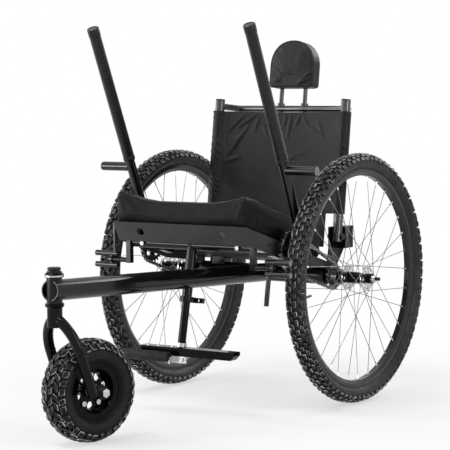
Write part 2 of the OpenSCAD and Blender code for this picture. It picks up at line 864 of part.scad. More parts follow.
// Cushion: rings of points round a box with drawn-in sides and corners, leaning ends and a dished top
cushion_ring_n = 56;
cushion_square = 8;
cushion_dish = 4;
cushion_corner_share = 0.03;
cushion_pull_share = 0.012;
cushion_scale_shares = [0.97, 1, 1, 0.988, 0.96, 0.85, 0.65, 0.4, 0.18];
cushion_height_shares = [0, 0.12, 0.78, 0.92, 0.985, 1, 1, 1, 1];
// One coordinate of a walk round a square of half-side 1, from the middle of a side and 8 units long
function around(t) = let (s = t - 8 * floor(t / 8))
    s < 1 ? s : s < 3 ? 1 : s < 5 ? 4 - s : s < 7 ? -1 : s - 8;
function cushion_plan(t) = let (
        u = around(t + 2),
        v = around(t),
        drawn = 1 - cushion_corner_share * pow(min(abs(u), abs(v)), cushion_square)
    ) [
        cushion_w / 2 * u * drawn * (1 - cushion_pull_share * (1 - v * v)),
        cushion_l / 2 * v * drawn * (1 - cushion_pull_share * (1 - u * u))
    ];
function cushion_top(x) = cushion_t + cushion_rise * pow(2 * abs(x) / cushion_w, cushion_dish);
function cushion_point(i, j) = let (
        p = cushion_plan(j * 8 / cushion_ring_n) * cushion_scale_shares[i],
        h = cushion_top(p[0]) * cushion_height_shares[i]
    ) [p[0], p[1] - h * tan(cushion_lean), h];
module cushion_form() {
    rings = len(cushion_scale_shares);
    n = cushion_ring_n;
    points = concat(
        [for (i = [0 : rings - 1]) for (j = [0 : n - 1]) cushion_point(i, j)],
        [[0, 0, 0], [0, -cushion_t * tan(cushion_lean), cushion_t]]
    );
    sides = [for (i = [0 : rings - 2]) for (j = [0 : n - 1]) let (k = (j + 1) % n)
        each [[i * n + j, (i + 1) * n + k, i * n + k], [i * n + j, (i + 1) * n + j, (i + 1) * n + k]]];
    ends = [for (j = [0 : n - 1]) let (k = (j + 1) % n)
        each [[rings * n, j, k], [rings * n + 1, (rings - 1) * n + k, (rings - 1) * n + j]]];
    polyhedron(points = points, faces = concat(sides, ends));
}
module seat_cushion() {
    color("#232325") place() at_pan()
        translate([0, cushion_front + cushion_l / 2, seat_gap]) cushion_form();
}

// Lever shaft under the pan
module lever_shaft() {
    color("silver") place() translate([0, pivot_y, pivot_z])
        bar_x(shaft_r, -sleeve_end - shaft_nut_l, sleeve_end + shaft_nut_l);
}
module shaft_nuts() {
    color("#8c8c90") place() translate([0, pivot_y, pivot_z]) both_sides() difference() {
        translate([sleeve_end + seat_gap, 0, 0]) rotate([0, 90, 0])
            cylinder(d = shaft_nut_d, h = shaft_nut_l, $fn = 6);
        bar_x(shaft_r + run_fit, sleeve_end - overrun, sleeve_end + 2 * shaft_nut_l);
    }
}
module shaft_blocks() {
    color("#1a1a1c") place() difference() {
        translate([0, pivot_y, pivot_z]) rotate([-pan_tilt, 0, 0]) both_sides()
            translate([block_x - block_w / 2, -block_l / 2, -block_h / 2 - shaft_d / 4])
                cube([block_w, block_l, 2 * block_h]);
        at_pan() translate([-pan_w / 2, -pan_l, -pan_t - seat_gap]) cube([pan_w, 3 * pan_l, pan_l]);
        translate([0, pivot_y, pivot_z]) bar_x(shaft_r + run_fit, -pan_w, pan_w);
    }
}

// Levers
module lever() {
    peg_in = lever_r / 2;
    color("#17171a") place() at_pivot() translate([0, lever_set_back, 0]) {
        translate([0, 0, -lever_tail]) cylinder(r = lever_r, h = lever_l + lever_tail - grip_d / 4);
        translate([0, 0, peg_h]) {
            bar_x(peg_d / 2, peg_in, peg_out - peg_wall_cap);
            bar_x(peg_d / 2 - overrun, peg_in, peg_out);
        }
    }
}
module grip() {
    bore = lever_l - grip_d / 4 + seat_gap;
    color("#202022") place() at_pivot() translate([0, lever_set_back, 0]) difference() {
        translate([0, 0, lever_l - grip_l]) cylinder(d = grip_d, h = grip_l);
        cylinder(r = lever_r + run_fit, h = bore);
    }
}
module socket() {
    flat_x = chain_x - lever_x + sprocket_t / 2 + seat_gap;
    color("#1c1c1e") place() at_pivot() difference() {
        union() {
            bar_x(sleeve_d / 2, flat_x, sleeve_end - lever_x);
            bar_x(spider_d / 2, flat_x, flat_x + spider_t);
            translate([0, lever_set_back, -socket_low]) cylinder(d = socket_d, h = socket_low + socket_high);
        }
        bar_x(shaft_r + run_fit, flat_x - overrun, sleeve_end - lever_x + overrun);
        translate([0, lever_set_back, -lever_tail - seat_gap])
            cylinder(r = lever_r + run_fit, h = lever_tail + socket_high + overrun);
    }
}

// Chain drive in its own plane: the cog at the origin and the chainring along +X
module tooth_gap() {
    r = roller_d / 2 + roller_gap;
    circle(r = r);
    polygon([
        [0, -r], [tooth_h + overrun, -(chain_pitch - tooth_tip) / 2],
        [tooth_h + overrun, (chain_pitch - tooth_tip) / 2], [0, r]
    ]);
}
module sprocket(teeth, r, phase) {
    linear_extrude(height = sprocket_t, center = true) difference() {
        circle(r = r + tooth_h);
        for (k = [0 : teeth - 1]) rotate(phase + k * 360 / teeth) translate([r, 0]) tooth_gap();
    }
}
module chainring() {
    color("#1e1e20") place() at_drive() translate([drive_l, 0, 0]) difference() {
        sprocket(ring_teeth, ring_r, 90 + chain_cant);
        cylinder(d = shaft_d + 2 * seat_gap, h = 4 * sprocket_t, center = true);
        for (k = [0 : window_n - 1])
            rotate(k * 360 / window_n) translate([ring_r * window_share, 0, 0])
                cylinder(d = window_d, h = 4 * sprocket_t, center = true);
    }
}
module cog() {
    first = ceil(ring_wrap + run_links);
    phase = -90 - chain_cant - (first - ring_wrap - run_links) * 360 / cog_teeth;
    color("#b4b4b8") place() difference() {
        union() {
            at_drive() sprocket(cog_teeth, cog_r, phase);
            translate([0, 0, wheel_r])
                bar_x(free_d / 2, chain_x - sprocket_t / 2, chain_x - sprocket_t / 2 + free_l);
        }
        translate([0, 0, wheel_r]) bar_x(barrel_r + run_fit, hub_in_x - overrun, chain_x + 2 * free_l);
    }
}
// Centre of roller k along the closed chain, counted from the chainring's upper tangent
function polar(r, a) = [r * cos(a), r * sin(a)];
function chain_point(k) = let (
        top = 90 + chain_cant,
        ring_end = [drive_l, 0] + polar(ring_r, -top),
        cog_start = polar(cog_r, -top),
        cog_end = polar(cog_r, top),
        ring_start = [drive_l, 0] + polar(ring_r, top),
        a = k - ring_wrap,
        b = a - run_links,
        c = b - cog_wrap
    )
    k <= ring_wrap ? [drive_l, 0] + polar(ring_r, top - k * 360 / ring_teeth)
    : a <= run_links ? ring_end + (cog_start - ring_end) * a / run_links
    : b <= cog_wrap ? polar(cog_r, -top - b * 360 / cog_teeth)
    : cog_end + (ring_start - cog_end) * c / run_links;
module link_plate(l, hole_d) {
    linear_extrude(height = plate_t, center = true) difference() {
        union() {
            circle(d = plate_h);
            translate([l, 0]) circle(d = plate_h);
            translate([0, -plate_h / 3]) square([l, plate_h * 2 / 3]);
        }
        circle(d = hole_d);
        translate([l, 0]) circle(d = hole_d);
    }
}
module inner_link(l) {
    bush = pin_d + 2 * link_gap;
    for (s = [-1, 1]) translate([0, 0, s * (chain_in_w + plate_t) / 2]) link_plate(l, bush);
    for (x = [0, l]) translate([x, 0, 0]) difference() {
        cylinder(d = roller_d, h = chain_in_w, center = true);
        cylinder(d = bush, h = 2 * chain_in_w, center = true);
    }
}
module outer_link(l) {
    plate_z = chain_in_w / 2 + plate_t + link_gap + plate_t / 2;
    for (s = [-1, 1]) translate([0, 0, s * plate_z]) link_plate(l, pin_d / 2);
    for (x = [0, l]) translate([x, 0, 0]) cylinder(d = pin_d, h = 2 * plate_z, center = true);
}
module chain() {
    color("#9a9a9e") place() at_drive()
        for (k = [0 : chain_links - 1]) {
            p = chain_point(k);
            d = chain_point((k + 1) % chain_links) - p;
            translate([p[0], p[1], 0]) rotate(atan2(d[1], d[0])) {
                if (k % 2 == 0) inner_link(norm(d));
                else outer_link(norm(d));
            }
        }
}

// Parking brakes
module brake_brackets() {
    color("#1c1c1e") place() both_sides() {
        translate([bracket_x - bracket_w / 2, brake_y - bracket_w / 2, bracket_low])
            cube([bracket_w, bracket_w, bracket_top - bracket_low]);
        at_brake() bar_x(arm_d / 2, bracket_x, arm_end_x);
    }
}
module brake(handle_side) {
    color("#1a1a1c") place() at_brake() difference() {
        union() {
            for (s = [-1, 1])
                translate([0, 0, s * brake_throw]) bar_x(brake_peg_d / 2, brake_in_x, brake_peg_x);
            bar_x(yoke_w / 2 + run_fit, yoke_x - yoke_t / 2, yoke_x + yoke_t / 2);
            translate([yoke_x - yoke_t / 2, -yoke_web / 2, -brake_throw])
                cube([yoke_t, yoke_web, 2 * brake_throw]);
            translate([brake_in_x + handle_set, 0, handle_side * brake_throw])
                rotate([handle_side < 0 ? 180 - handle_lean : 0, 0, 0]) cylinder(d = handle_d, h = handle_l);
        }
        bar_x(arm_d / 2 + run_fit, brake_in_x - overrun, arm_end_x + overrun);
    }
}

// Backrest
module back_brackets() {
    in_x = cane_x - cane_r - seat_gap - plate_w;
    color("#161618") place() difference() {
        union() {
            both_sides() translate([in_x, hinge_back, hinge_z]) rotate([90, 0, 90]) {
                linear_extrude(height = plate_w) polygon([
                    [axle_tube_r - hinge_back - foot_front, wheel_r - hinge_z],
                    [-back_plate_front, -back_plate_low], [-back_plate_front, back_plate_up],
                    [back_plate_rear, back_plate_up], [back_plate_rear, -back_plate_low],
                    [axle_tube_r - hinge_back + foot_tab, wheel_r - hinge_z]
                ]);
                linear_extrude(height = plate_w + seat_gap + cane_d) polygon([
                    [back_block_front, -back_plate_low], [back_plate_rear, -back_plate_low],
                    [back_plate_rear, back_plate_up], [back_block_front, back_plate_up]
                ]);
            }
        }
        translate([0, 0, wheel_r]) bar_x(axle_tube_r + seat_gap, -pan_w, pan_w);
        translate([0, hinge_back, hinge_z]) bar_x(hinge_bolt_d / 2 + run_fit, -pan_w, pan_w);
    }
}
module back_canes() {
    color("#1a1a1c") place() at_back() both_sides() translate([cane_x, 0, 0]) difference() {
        translate([0, 0, -cane_tail]) cylinder(r = cane_r, h = cane_l + cane_tail);
        bar_x(hinge_bolt_d / 2 + run_fit, -cane_d, cane_d);
    }
}
module cane_caps() {
    color("#0e0e0e") place() at_back() both_sides()
        translate([cane_x, 0, cane_l + seat_gap]) cylinder(r = cane_r, h = cap_t);
}
module back_bar() {
    corner = cane_x - bar_in;
    color("#1a1a1c") place() at_back() translate([0, 0, bar_h]) difference() {
        union() {
            translate([0, bar_bow, 0]) bar_x(bar_d / 2, -corner, corner);
            both_sides() {
                rod([cane_x, 0, 0], [corner, bar_bow, 0], bar_d / 2);
                translate([corner, bar_bow, 0]) rotate([-90, 0, 0]) rotate([0, 90, 0])
                    sphere(d = bar_d + 2 * weld);
                translate([rod_gap / 2, bar_bow, 0])
                    cylinder(r = rod_r + collar_wall, h = bar_d / 2 + rod_collar_h / 2);
            }
        }
        both_sides() {
            translate([cane_x, 0, -bar_d]) cylinder(r = cane_r + seat_gap, h = 2 * bar_d);
            translate([rod_gap / 2, bar_bow, -bar_d]) cylinder(r = rod_r + run_fit, h = 3 * bar_d);
        }
    }
}
module sling_section() {
    sleeve_r = cane_r + seat_gap + cloth_t;
    sweep_r = (pow(cane_x, 2) + pow(sling_sag, 2)) / (2 * sling_sag);
    difference() {
        union() {
            for (s = [-1, 1]) translate([s * cane_x, 0]) circle(r = sleeve_r);
            intersection() {
                translate([0, sling_sag - sweep_r]) difference() {
                    circle(r = sweep_r, $fn = 256);
                    circle(r = sweep_r - 2 * cloth_t, $fn = 256);
                }
                translate([-cane_x, -sleeve_r]) square([2 * cane_x, sling_sag + 2 * sleeve_r]);
            }
        }
        for (s = [-1, 1]) translate([s * cane_x, 0]) circle(r = cane_r + seat_gap);
    }
}
module back_sling() {
    flap_x = cane_x - flap_in;
    color("#29292b") place() at_back() translate([0, 0, sling_low]) {
        linear_extrude(height = sling_h) sling_section();
        translate([0, 0, -flap_h]) linear_extrude(height = flap_h + overrun) intersection() {
            sling_section();
            translate([-flap_x, -cane_d]) square([2 * flap_x, 2 * cane_d]);
        }
    }
}
module hinge_bolts() {
    in_x = cane_x - cane_r - 2 * seat_gap - plate_w;
    out_x = cane_x + cane_r + seat_gap;
    color("#1a1a1c") place() translate([0, hinge_back, hinge_z]) both_sides() {
        bar_x(hinge_bolt_d / 2, in_x - overrun, out_x + overrun);
        bar_x(hinge_head_d / 2, out_x, out_x + hinge_head_l);
        bar_x(hinge_head_d / 2, in_x - hinge_head_l, in_x);
    }
}

// Headrest
pad_ring_n = 40;
pad_split_share = 0.45;
pad_square = 9;
pad_round = 2.2;
pad_depth_shares = [-0.5, -0.46, -0.3, 0, 0.3, 0.46, 0.5];
pad_scale_shares = [0.8, 0.93, 1, 1, 1, 0.93, 0.8];
pad_crown = 4;
function soft_cos(a, n) = sign(cos(a)) * pow(abs(cos(a)), 2 / n);
function soft_sin(a, n) = sign(sin(a)) * pow(abs(sin(a)), 2 / n);
function pad_outline(a) = let (
        low = sin(a) < 0,
        n = low ? pad_square : pad_round,
        h = pad_h * (low ? pad_split_share : 1 - pad_split_share)
    ) [pad_w / 2 * soft_cos(a, low ? pad_square : pad_round), h * soft_sin(a, n)];
function pad_point(i, j) = let (
        p = pad_outline(j * 360 / pad_ring_n) * pad_scale_shares[i]
    ) [p[0], pad_depth_shares[i] * pad_t, pad_h * pad_split_share + p[1]];
module pad_form() {
    rings = len(pad_depth_shares);
    n = pad_ring_n;
    mid_z = pad_h / 2;
    points = concat(
        [for (i = [0 : rings - 1]) for (j = [0 : n - 1]) pad_point(i, j)],
        [[0, -pad_t / 2 - pad_crown, mid_z], [0, pad_t / 2 + pad_crown, mid_z]]
    );
    sides = [for (i = [0 : rings - 2]) for (j = [0 : n - 1]) let (k = (j + 1) % n)
        each [[i * n + j, i * n + k, (i + 1) * n + k], [i * n + j, (i + 1) * n + k, (i + 1) * n + j]]];
    ends = [for (j = [0 : n - 1]) let (k = (j + 1) % n)
        each [[rings * n, k, j], [rings * n + 1, (rings - 1) * n + j, (rings - 1) * n + k]]];
    polyhedron(points = points, faces = concat(sides, ends));
}
module headrest_rods() {
    color("#1a1a1c") place() at_back() both_sides()
        translate([rod_gap / 2, bar_bow, bar_h - rod_low])
            cylinder(r = rod_r, h = rod_low + bar_d / 2 + pad_lift - seat_gap);
}
module headrest_pad() {
    color("#262628") place() at_back()
        translate([0, bar_bow, bar_h + bar_d / 2 + pad_lift]) pad_form();
}

// Footrest
module post_clamp() {
    ear_y = post_r + clamp_wall;
    color("#151517") place() at_post() translate([0, 0, -post_low]) difference() {
        union() {
            cylinder(r = post_r + clamp_wall, h = clamp_h);
            translate([-ear_w / 2, 0, 0]) cube([ear_w, ear_y + ear_l, clamp_h]);
            translate([0, ear_y + ear_l / 2, clamp_h / 2]) {
                bar_x(skewer_d / 2, -ear_w / 2, ear_w / 2 + cam_d / 2);
                bar_x(skewer_nut_d / 2, -ear_w / 2 - skewer_nut_l, -ear_w / 2);
                translate([ear_w / 2 + cam_d / 2, 0, 0])
                    cylinder(d = cam_pin_d, h = cam_h + 2 * seat_gap, center = true);
            }
        }
        translate([0, 0, -overrun]) cylinder(r = post_r + seat_gap, h = clamp_h + 2 * overrun);
        translate([-slot_w / 2, 0, -overrun])
            cube([slot_w, ear_y + ear_l / 4, clamp_h + 2 * overrun]);
    }
}
module clamp_lever() {
    ear_y = post_r + clamp_wall + ear_l / 2;
    color("#19191b") place() at_post()
        translate([ear_w / 2 + cam_d / 2, ear_y, clamp_h / 2 - post_low]) difference() {
            union() {
                cylinder(d = cam_d - 2 * seat_gap, h = cam_h, center = true);
                translate([0, -cam_lever_t / 2, -cam_h / 2]) cube([cam_lever_l, cam_lever_t, cam_h]);
            }
            cylinder(d = cam_pin_d + 2 * run_fit, h = 2 * cam_h, center = true);
            translate([-cam_d, -cam_d, -skewer_d / 2 - seat_gap])
                cube([cam_slot_l, 2 * cam_d, skewer_d + 2 * seat_gap]);
        }
}
module foot_post() {
    low = (post_z - foot_z) / cos(post_lean) + boss_l - foot_t - seat_gap;
    color("#19191b") place() at_post() translate([0, 0, -low]) cylinder(r = foot_post_r, h = low - foot_top);
}
module beam_outline(wall, low) {
    polygon([
        [foot_bevel + wall, low], [foot_w - foot_bevel - wall, low], [foot_w - wall, foot_h - foot_edge],
        [foot_w - wall, foot_h - wall], [wall, foot_h - wall], [wall, foot_h - foot_edge]
    ]);
}
module foot_beam() {
    x0 = foot_shift - foot_w / 2;
    rear_y = foot_front_y + foot_depth;
    color("#121214") place() difference() {
        union() {
            translate([x0, rear_y, foot_z - foot_h]) rotate([90, 0, 0]) difference() {
                linear_extrude(height = foot_depth) beam_outline(0, 0);
                translate([0, 0, foot_t])
                    linear_extrude(height = foot_depth - 2 * foot_t) beam_outline(foot_t, -overrun);
            }
            intersection() {
                at_foot() translate([0, 0, -boss_l]) cylinder(d = boss_d, h = boss_l - foot_t / 2);
                translate([x0, foot_front_y, foot_z - foot_h]) cube([foot_w, foot_depth, foot_h]);
            }
            for (x = [x0 + arm_t, roll_x1 - 2 * arm_t])
                translate([x, foot_front_y - roll_arm, foot_z - roll_drop - roll_rod_d / 2])
                    cube([arm_t, roll_arm + foot_t, roll_drop]);
        }
        at_foot() translate([0, 0, foot_t - boss_l]) cylinder(r = foot_post_r + run_fit, h = 2 * boss_l);
    }
}
module foot_roll() {
    color("#2c2c2e") place() translate([0, roll_y, foot_z - roll_drop]) bar_x(roll_d / 2, roll_x0, roll_x1);
}
module foot_collar() {
    color("silver") place() difference() {
        at_foot() difference() {
            cylinder(d = boss_d, h = foot_collar_h);
            translate([0, 0, -overrun]) cylinder(r = foot_post_r + run_fit, h = foot_collar_h + 2 * overrun);
        }
        translate([-boss_d, foot_dir_y - boss_d, 0]) cube([2 * boss_d, 2 * boss_d, foot_z + seat_gap]);
    }
}
module roll_bracket() {
    low_z = foot_z - foot_h - seat_gap - roll_plate_h;
    color("silver") place() translate([roll_x1 + seat_gap, foot_front_y, low_z]) {
        cube([roll_plate_l, roll_plate_t, roll_plate_h]);
        translate([0, roll_y - roll_d / 4 - foot_front_y, 0])
            cube([roll_plate_t, foot_front_y - roll_y + roll_d / 4 + roll_plate_t, roll_plate_h]);
        translate([roll_plate_l - bolt_d, roll_plate_t / 2, roll_plate_h / 2]) rotate([90, 0, 0])
            cylinder(d = bolt_d, h = bolt_h, $fn = 6);
    }
}

// Left and right nodes
module left_chain() chain();
module right_chain() right() chain();
module left_lever() lever();
module right_lever() right() lever();
module left_grip() grip();
module right_grip() right() grip();
module left_socket() socket();
module right_socket() right() socket();
module left_chainring() chainring();
module right_chainring() right() chainring();
module left_cog() cog();
module right_cog() right() cog();
module left_tyre() place() rear_tyre();
module right_tyre() right() place() rear_tyre();
module left_rim() place() rear_rim();
module right_rim() right() place() rear_rim();
module left_spokes() place() spokes();
module right_spokes() right() place() spokes();
module left_hub() place() hub();
module right_hub() right() place() hub();
module left_button() place() button();
module right_button() right() place() button();
module left_brake() brake(-1);
module right_brake() right() brake(1);

main_boom();
head_tube();
headset_cups();
axle_tube();
seat_post();
post_clamp();
seat_crossbar();
seat_mounts();
seat_pan();
pan_bolts();
seat_cushion();
lever_shaft();
shaft_blocks();
shaft_nuts();
brake_brackets();
back_brackets();
left_chain();
right_chain();
wheel_axles();
back_canes();
cane_caps();
back_bar();
back_sling();
hinge_bolts();
headrest_rods();
headrest_pad();
left_lever();
right_lever();
left_grip();
right_grip();
left_socket();
right_socket();
left_chainring();
right_chainring();
left_cog();
right_cog();
left_tyre();
right_tyre();
left_rim();
right_rim();
left_spokes();
right_spokes();
left_hub();
right_hub();
left_button();
right_button();
caster_fork();
steerer_cap();
caster_axle();
caster_tyre();
caster_rim();
caster_bolts();
foot_post();
foot_beam();
foot_roll();
foot_collar();
roll_bracket();
clamp_lever();
left_brake();
right_brake();
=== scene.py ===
"""Looks for the lever-driven all-terrain wheelchair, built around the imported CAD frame."""

import json
import math

import bmesh
import bpy
import numpy as np
from mathutils import Matrix, Vector


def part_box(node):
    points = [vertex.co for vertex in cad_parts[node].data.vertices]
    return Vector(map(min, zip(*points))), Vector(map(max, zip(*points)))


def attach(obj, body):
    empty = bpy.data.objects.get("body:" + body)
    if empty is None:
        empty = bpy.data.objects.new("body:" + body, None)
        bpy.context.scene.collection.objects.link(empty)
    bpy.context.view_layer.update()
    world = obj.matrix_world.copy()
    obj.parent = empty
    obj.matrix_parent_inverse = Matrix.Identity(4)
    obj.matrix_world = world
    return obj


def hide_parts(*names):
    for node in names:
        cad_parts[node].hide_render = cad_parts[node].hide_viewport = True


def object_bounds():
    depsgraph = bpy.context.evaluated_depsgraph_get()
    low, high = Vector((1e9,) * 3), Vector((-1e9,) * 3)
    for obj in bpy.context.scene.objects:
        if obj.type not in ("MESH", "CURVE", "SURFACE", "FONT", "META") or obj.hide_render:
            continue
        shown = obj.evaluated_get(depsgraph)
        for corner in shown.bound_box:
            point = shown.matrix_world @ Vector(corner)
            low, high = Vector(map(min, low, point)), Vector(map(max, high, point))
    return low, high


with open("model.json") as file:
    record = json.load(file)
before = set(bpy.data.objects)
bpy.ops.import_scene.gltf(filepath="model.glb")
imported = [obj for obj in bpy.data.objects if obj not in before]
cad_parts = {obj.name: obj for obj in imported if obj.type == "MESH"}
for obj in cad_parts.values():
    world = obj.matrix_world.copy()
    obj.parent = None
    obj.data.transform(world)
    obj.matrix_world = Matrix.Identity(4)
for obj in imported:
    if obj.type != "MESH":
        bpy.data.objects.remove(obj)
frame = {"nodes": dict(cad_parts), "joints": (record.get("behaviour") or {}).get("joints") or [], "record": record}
cad_low, cad_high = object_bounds()
NODES = frame["nodes"]
JOINTS = {j["name"]: j for j in frame["joints"]}

# Places that the frame gives
AXLE = Vector(JOINTS["left_wheel_spin"]["pos_m"])
PIVOT = Vector(JOINTS["left_lever_stroke"]["pos_m"])
HINGE = Vector(JOINTS["back_fold"]["pos_m"])
BACK_UP = Vector(JOINTS["headrest_height"]["axis"])
CASTER = Vector(JOINTS["caster_spin"]["pos_m"])
CASTER_AXIS = Vector(JOINTS["caster_spin"]["axis"])
SIDE = Vector((1, 0, 0))

# How far from the axle the nipples begin, and half the width over which their bare metal sets in
NIPPLE_START = 0.2556
NIPPLE_EDGE = 0.0005

# Bare bands, each the coordinate of its middle and its half width, and the half width at a peg's end
HUB_FLANGES = ((0.264, 0.0017), (0.320, 0.0017))
HEADSET_BAND = (0.403, 0.0018)
PEG_FACE = 0.0007


# Meshes

def new_object(name, verts, faces, material=None, smooth=True):
    mesh = bpy.data.meshes.new(name)
    mesh.from_pydata([tuple(v) for v in verts], [], faces)
    mesh.update()
    obj = bpy.data.objects.new(name, mesh)
    bpy.context.scene.collection.objects.link(obj)
    fix_normals(obj)
    if smooth:
        mesh.polygons.foreach_set("use_smooth", [True] * len(mesh.polygons))
    if material:
        mesh.materials.append(material)
    return obj


def fix_normals(obj):
    bm = bmesh.new()
    bm.from_mesh(obj.data)
    bmesh.ops.recalc_face_normals(bm, faces=bm.faces)
    bm.to_mesh(obj.data)
    bm.free()


def sharpen(obj, degrees=35):
    """Smooth shading with creases kept where faces turn by more than the given angle."""
    obj.data.set_sharp_from_angle(angle=math.radians(degrees))


def apply_modifiers(obj):
    dg = bpy.context.evaluated_depsgraph_get()
    mesh = bpy.data.meshes.new_from_object(obj.evaluated_get(dg))
    old = obj.data
    obj.modifiers.clear()
    obj.data = mesh
    bpy.data.meshes.remove(old)


def coordinates(obj):
    co = np.empty(len(obj.data.vertices) * 3, np.float32)
    obj.data.vertices.foreach_get("co", co)
    return co.reshape(-1, 3).astype(float)


def set_coordinates(obj, co):
    obj.data.vertices.foreach_set("co", np.asarray(co, np.float32).ravel())
    obj.data.update()


def axis_frame(origin, x_axis, up=Vector((0, 0, 1))):
    """Matrix whose X runs along x_axis and whose Z leans to up."""
    x = x_axis.normalized()
    y = up.cross(x).normalized()
    z = x.cross(y)
    m = Matrix((x, y, z)).transposed().to_4x4()
    m.translation = origin
    return m


def grid_faces(rows, cols, wrap_rows=False, wrap_cols=False):
    """Faces between neighbours in a grid of points that is written row by row."""
    faces = []
    for i in range(rows if wrap_rows else rows - 1):
        for j in range(cols if wrap_cols else cols - 1):
            here, after = i * cols, (i + 1) % rows * cols
            k = (j + 1) % cols
            faces.append((here + j, here + k, after + k, after + j))
    return faces


def turned(profile, steps):
    """Points of a profile of (along, radius) turned about X."""
    verts = []
    for k in range(steps):
        t = 2 * math.pi * k / steps
        verts += [(a, r * math.sin(t), r * math.cos(t)) for a, r in profile]
    return verts


def spun_rod(name, profile, matrix, material, steps=48):
    """A turned solid along local X with capped ends; profile is (along, radius)."""
    n = len(profile)
    verts = turned(profile, steps)
    faces = grid_faces(steps, n, True, False)
    faces.append([k * n for k in range(steps)])
    faces.append([k * n + n - 1 for k in range(steps)][::-1])
    obj = new_object(name, [matrix @ Vector(v) for v in verts], faces, material)
    sharpen(obj)
    return obj


def closed_tube(name, points, radius, material, sides=8):
    """A round tube along a closed line of points."""
    n = len(points)
    verts = []
    normal = None
    for i, p in enumerate(points):
        tangent = (points[(i + 1) % n] - points[i - 1]).normalized()
        if normal is None:
            normal = tangent.orthogonal().normalized()
        normal = (normal - tangent * normal.dot(tangent)).normalized()
        other = tangent.cross(normal)
        for k in range(sides):
            t = 2 * math.pi * k / sides
            verts.append(p + radius * (math.cos(t) * normal + math.sin(t) * other))
    return new_object(name, verts, grid_faces(n, sides, True, True), material)


# Materials

class Finish:
    """A procedural material with short names for the nodes that every finish here uses."""

    def __init__(self, name):
        self.material = bpy.data.materials.new(name)
        self.material.use_nodes = True
        self.nodes = self.material.node_tree.nodes
        self.links = self.material.node_tree.links
        self.bsdf = self.nodes["Principled BSDF"]
        self.place = self.nodes.new("ShaderNodeTexCoord").outputs["Object"]

    def set(self, **sockets):
        for key, value in sockets.items():
            self.bsdf.inputs[key.replace("_", " ")].default_value = value
        return self

    def noise(self, scale, detail=3.0):
        node = self.nodes.new("ShaderNodeTexNoise")
        node.inputs["Scale"].default_value = scale
        node.inputs["Detail"].default_value = detail
        self.links.new(self.place, node.inputs["Vector"])
        return node.outputs["Fac"]

    def bands(self, scale, direction):
        node = self.nodes.new("ShaderNodeTexWave")
        node.bands_direction = direction
        node.inputs["Scale"].default_value = scale
        node.inputs["Distortion"].default_value = 0.6
        self.links.new(self.place, node.inputs["Vector"])
        return node.outputs["Fac"]

    def between(self, value, low, high, start=0.3, stop=0.7):
        node = self.nodes.new("ShaderNodeMapRange")
        node.inputs["From Min"].default_value = start
        node.inputs["From Max"].default_value = stop
        node.inputs["To Min"].default_value = low
        node.inputs["To Max"].default_value = high
        self.links.new(value, node.inputs["Value"])
        return node.outputs["Result"]

    def along(self, axis):
        """Size of one coordinate in the object's own frame, whichever side of zero it is on."""
        node = self.nodes.new("ShaderNodeSeparateXYZ")
        self.links.new(self.place, node.inputs["Vector"])
        size = self.nodes.new("ShaderNodeMath")
        size.operation = "ABSOLUTE"
        self.links.new(node.outputs[axis], size.inputs[0])
        return size.outputs["Value"]

    def from_axis(self, point):
        """Distance from an axis that runs along X through a point."""
        node = self.place
        for operation, value in (("SUBTRACT", point), ("MULTIPLY", (0, 1, 1)), ("LENGTH", None)):
            step = self.nodes.new("ShaderNodeVectorMath")
            step.operation = operation
            self.links.new(node, step.inputs[0])
            if value is not None:
                step.inputs[1].default_value = value
            node = step.outputs["Value" if operation == "LENGTH" else "Vector"]
        return node

    def near(self, value, centre, half):
        """One where a value lies within half of the centre, and zero elsewhere."""
        node = self.nodes.new("ShaderNodeMath")
        node.operation = "COMPARE"
        self.links.new(value, node.inputs[0])
        node.inputs[1].default_value = centre
        node.inputs[2].default_value = half
        return node.outputs["Value"]

    def rounded(self, radius):
        """Softens the edges of a machined piece in its shading."""
        node = self.nodes.new("ShaderNodeBevel")
        node.samples = 6
        node.inputs["Radius"].default_value = radius
        self.links.new(node.outputs["Normal"], self.bsdf.inputs["Normal"])
        return self

    def joined(self, a, b, operation="MULTIPLY"):
        node = self.nodes.new("ShaderNodeMath")
        node.operation = operation
        self.links.new(a, node.inputs[0])
        self.links.new(b, node.inputs[1])
        return node.outputs["Value"]

    def colour(self, value, dark, light, start=0.3, stop=0.7):
        node = self.nodes.new("ShaderNodeValToRGB")
        node.color_ramp.elements[0].position = start
        node.color_ramp.elements[0].color = (*dark, 1)
        node.color_ramp.elements[1].position = stop
        node.color_ramp.elements[1].color = (*light, 1)
        self.links.new(value, node.inputs["Fac"])
        self.links.new(node.outputs["Color"], self.bsdf.inputs["Base Color"])
        return self

    def rough(self, value, low, high):
        self.links.new(self.between(value, low, high), self.bsdf.inputs["Roughness"])
        return self

    def bump(self, height, strength, distance):
        node = self.nodes.new("ShaderNodeBump")
        node.inputs["Strength"].default_value = strength
        node.inputs["Distance"].default_value = distance
        self.links.new(height, node.inputs["Height"])
        last = self.bsdf.inputs["Normal"]
        if last.is_linked:
            self.links.new(last.links[0].from_socket, node.inputs["Normal"])
            self.links.remove(last.links[0])
        self.links.new(node.outputs["Normal"], last)
        return self


def grey(v, tint=0.0):
    return (v, v, v * (1 + tint))


def gloss_black():
    f = Finish("gloss_black").rounded(0.0012)
    f.colour(f.noise(9), grey(0.0025), grey(0.006, 0.1))
    f.rough(f.noise(55), 0.11, 0.19)
    f.bump(f.noise(420, 2), 0.04, 0.0003)
    return f.set(Specular_IOR_Level=0.17, Coat_Weight=0.1, Coat_Roughness=0.05).material


def deep_black(name, edge, gloss):
    """A darker, glossier paint, on the fork, the caster's rim and the footrest."""
    f = Finish(name).rounded(edge)
    f.colour(f.noise(11), grey(0.0015), grey(0.0038, 0.1))
    f.rough(f.noise(55), 0.07, 0.13)
    f.bump(f.noise(420, 2), 0.03, 0.0003)
    return f.set(Specular_IOR_Level=gloss).material


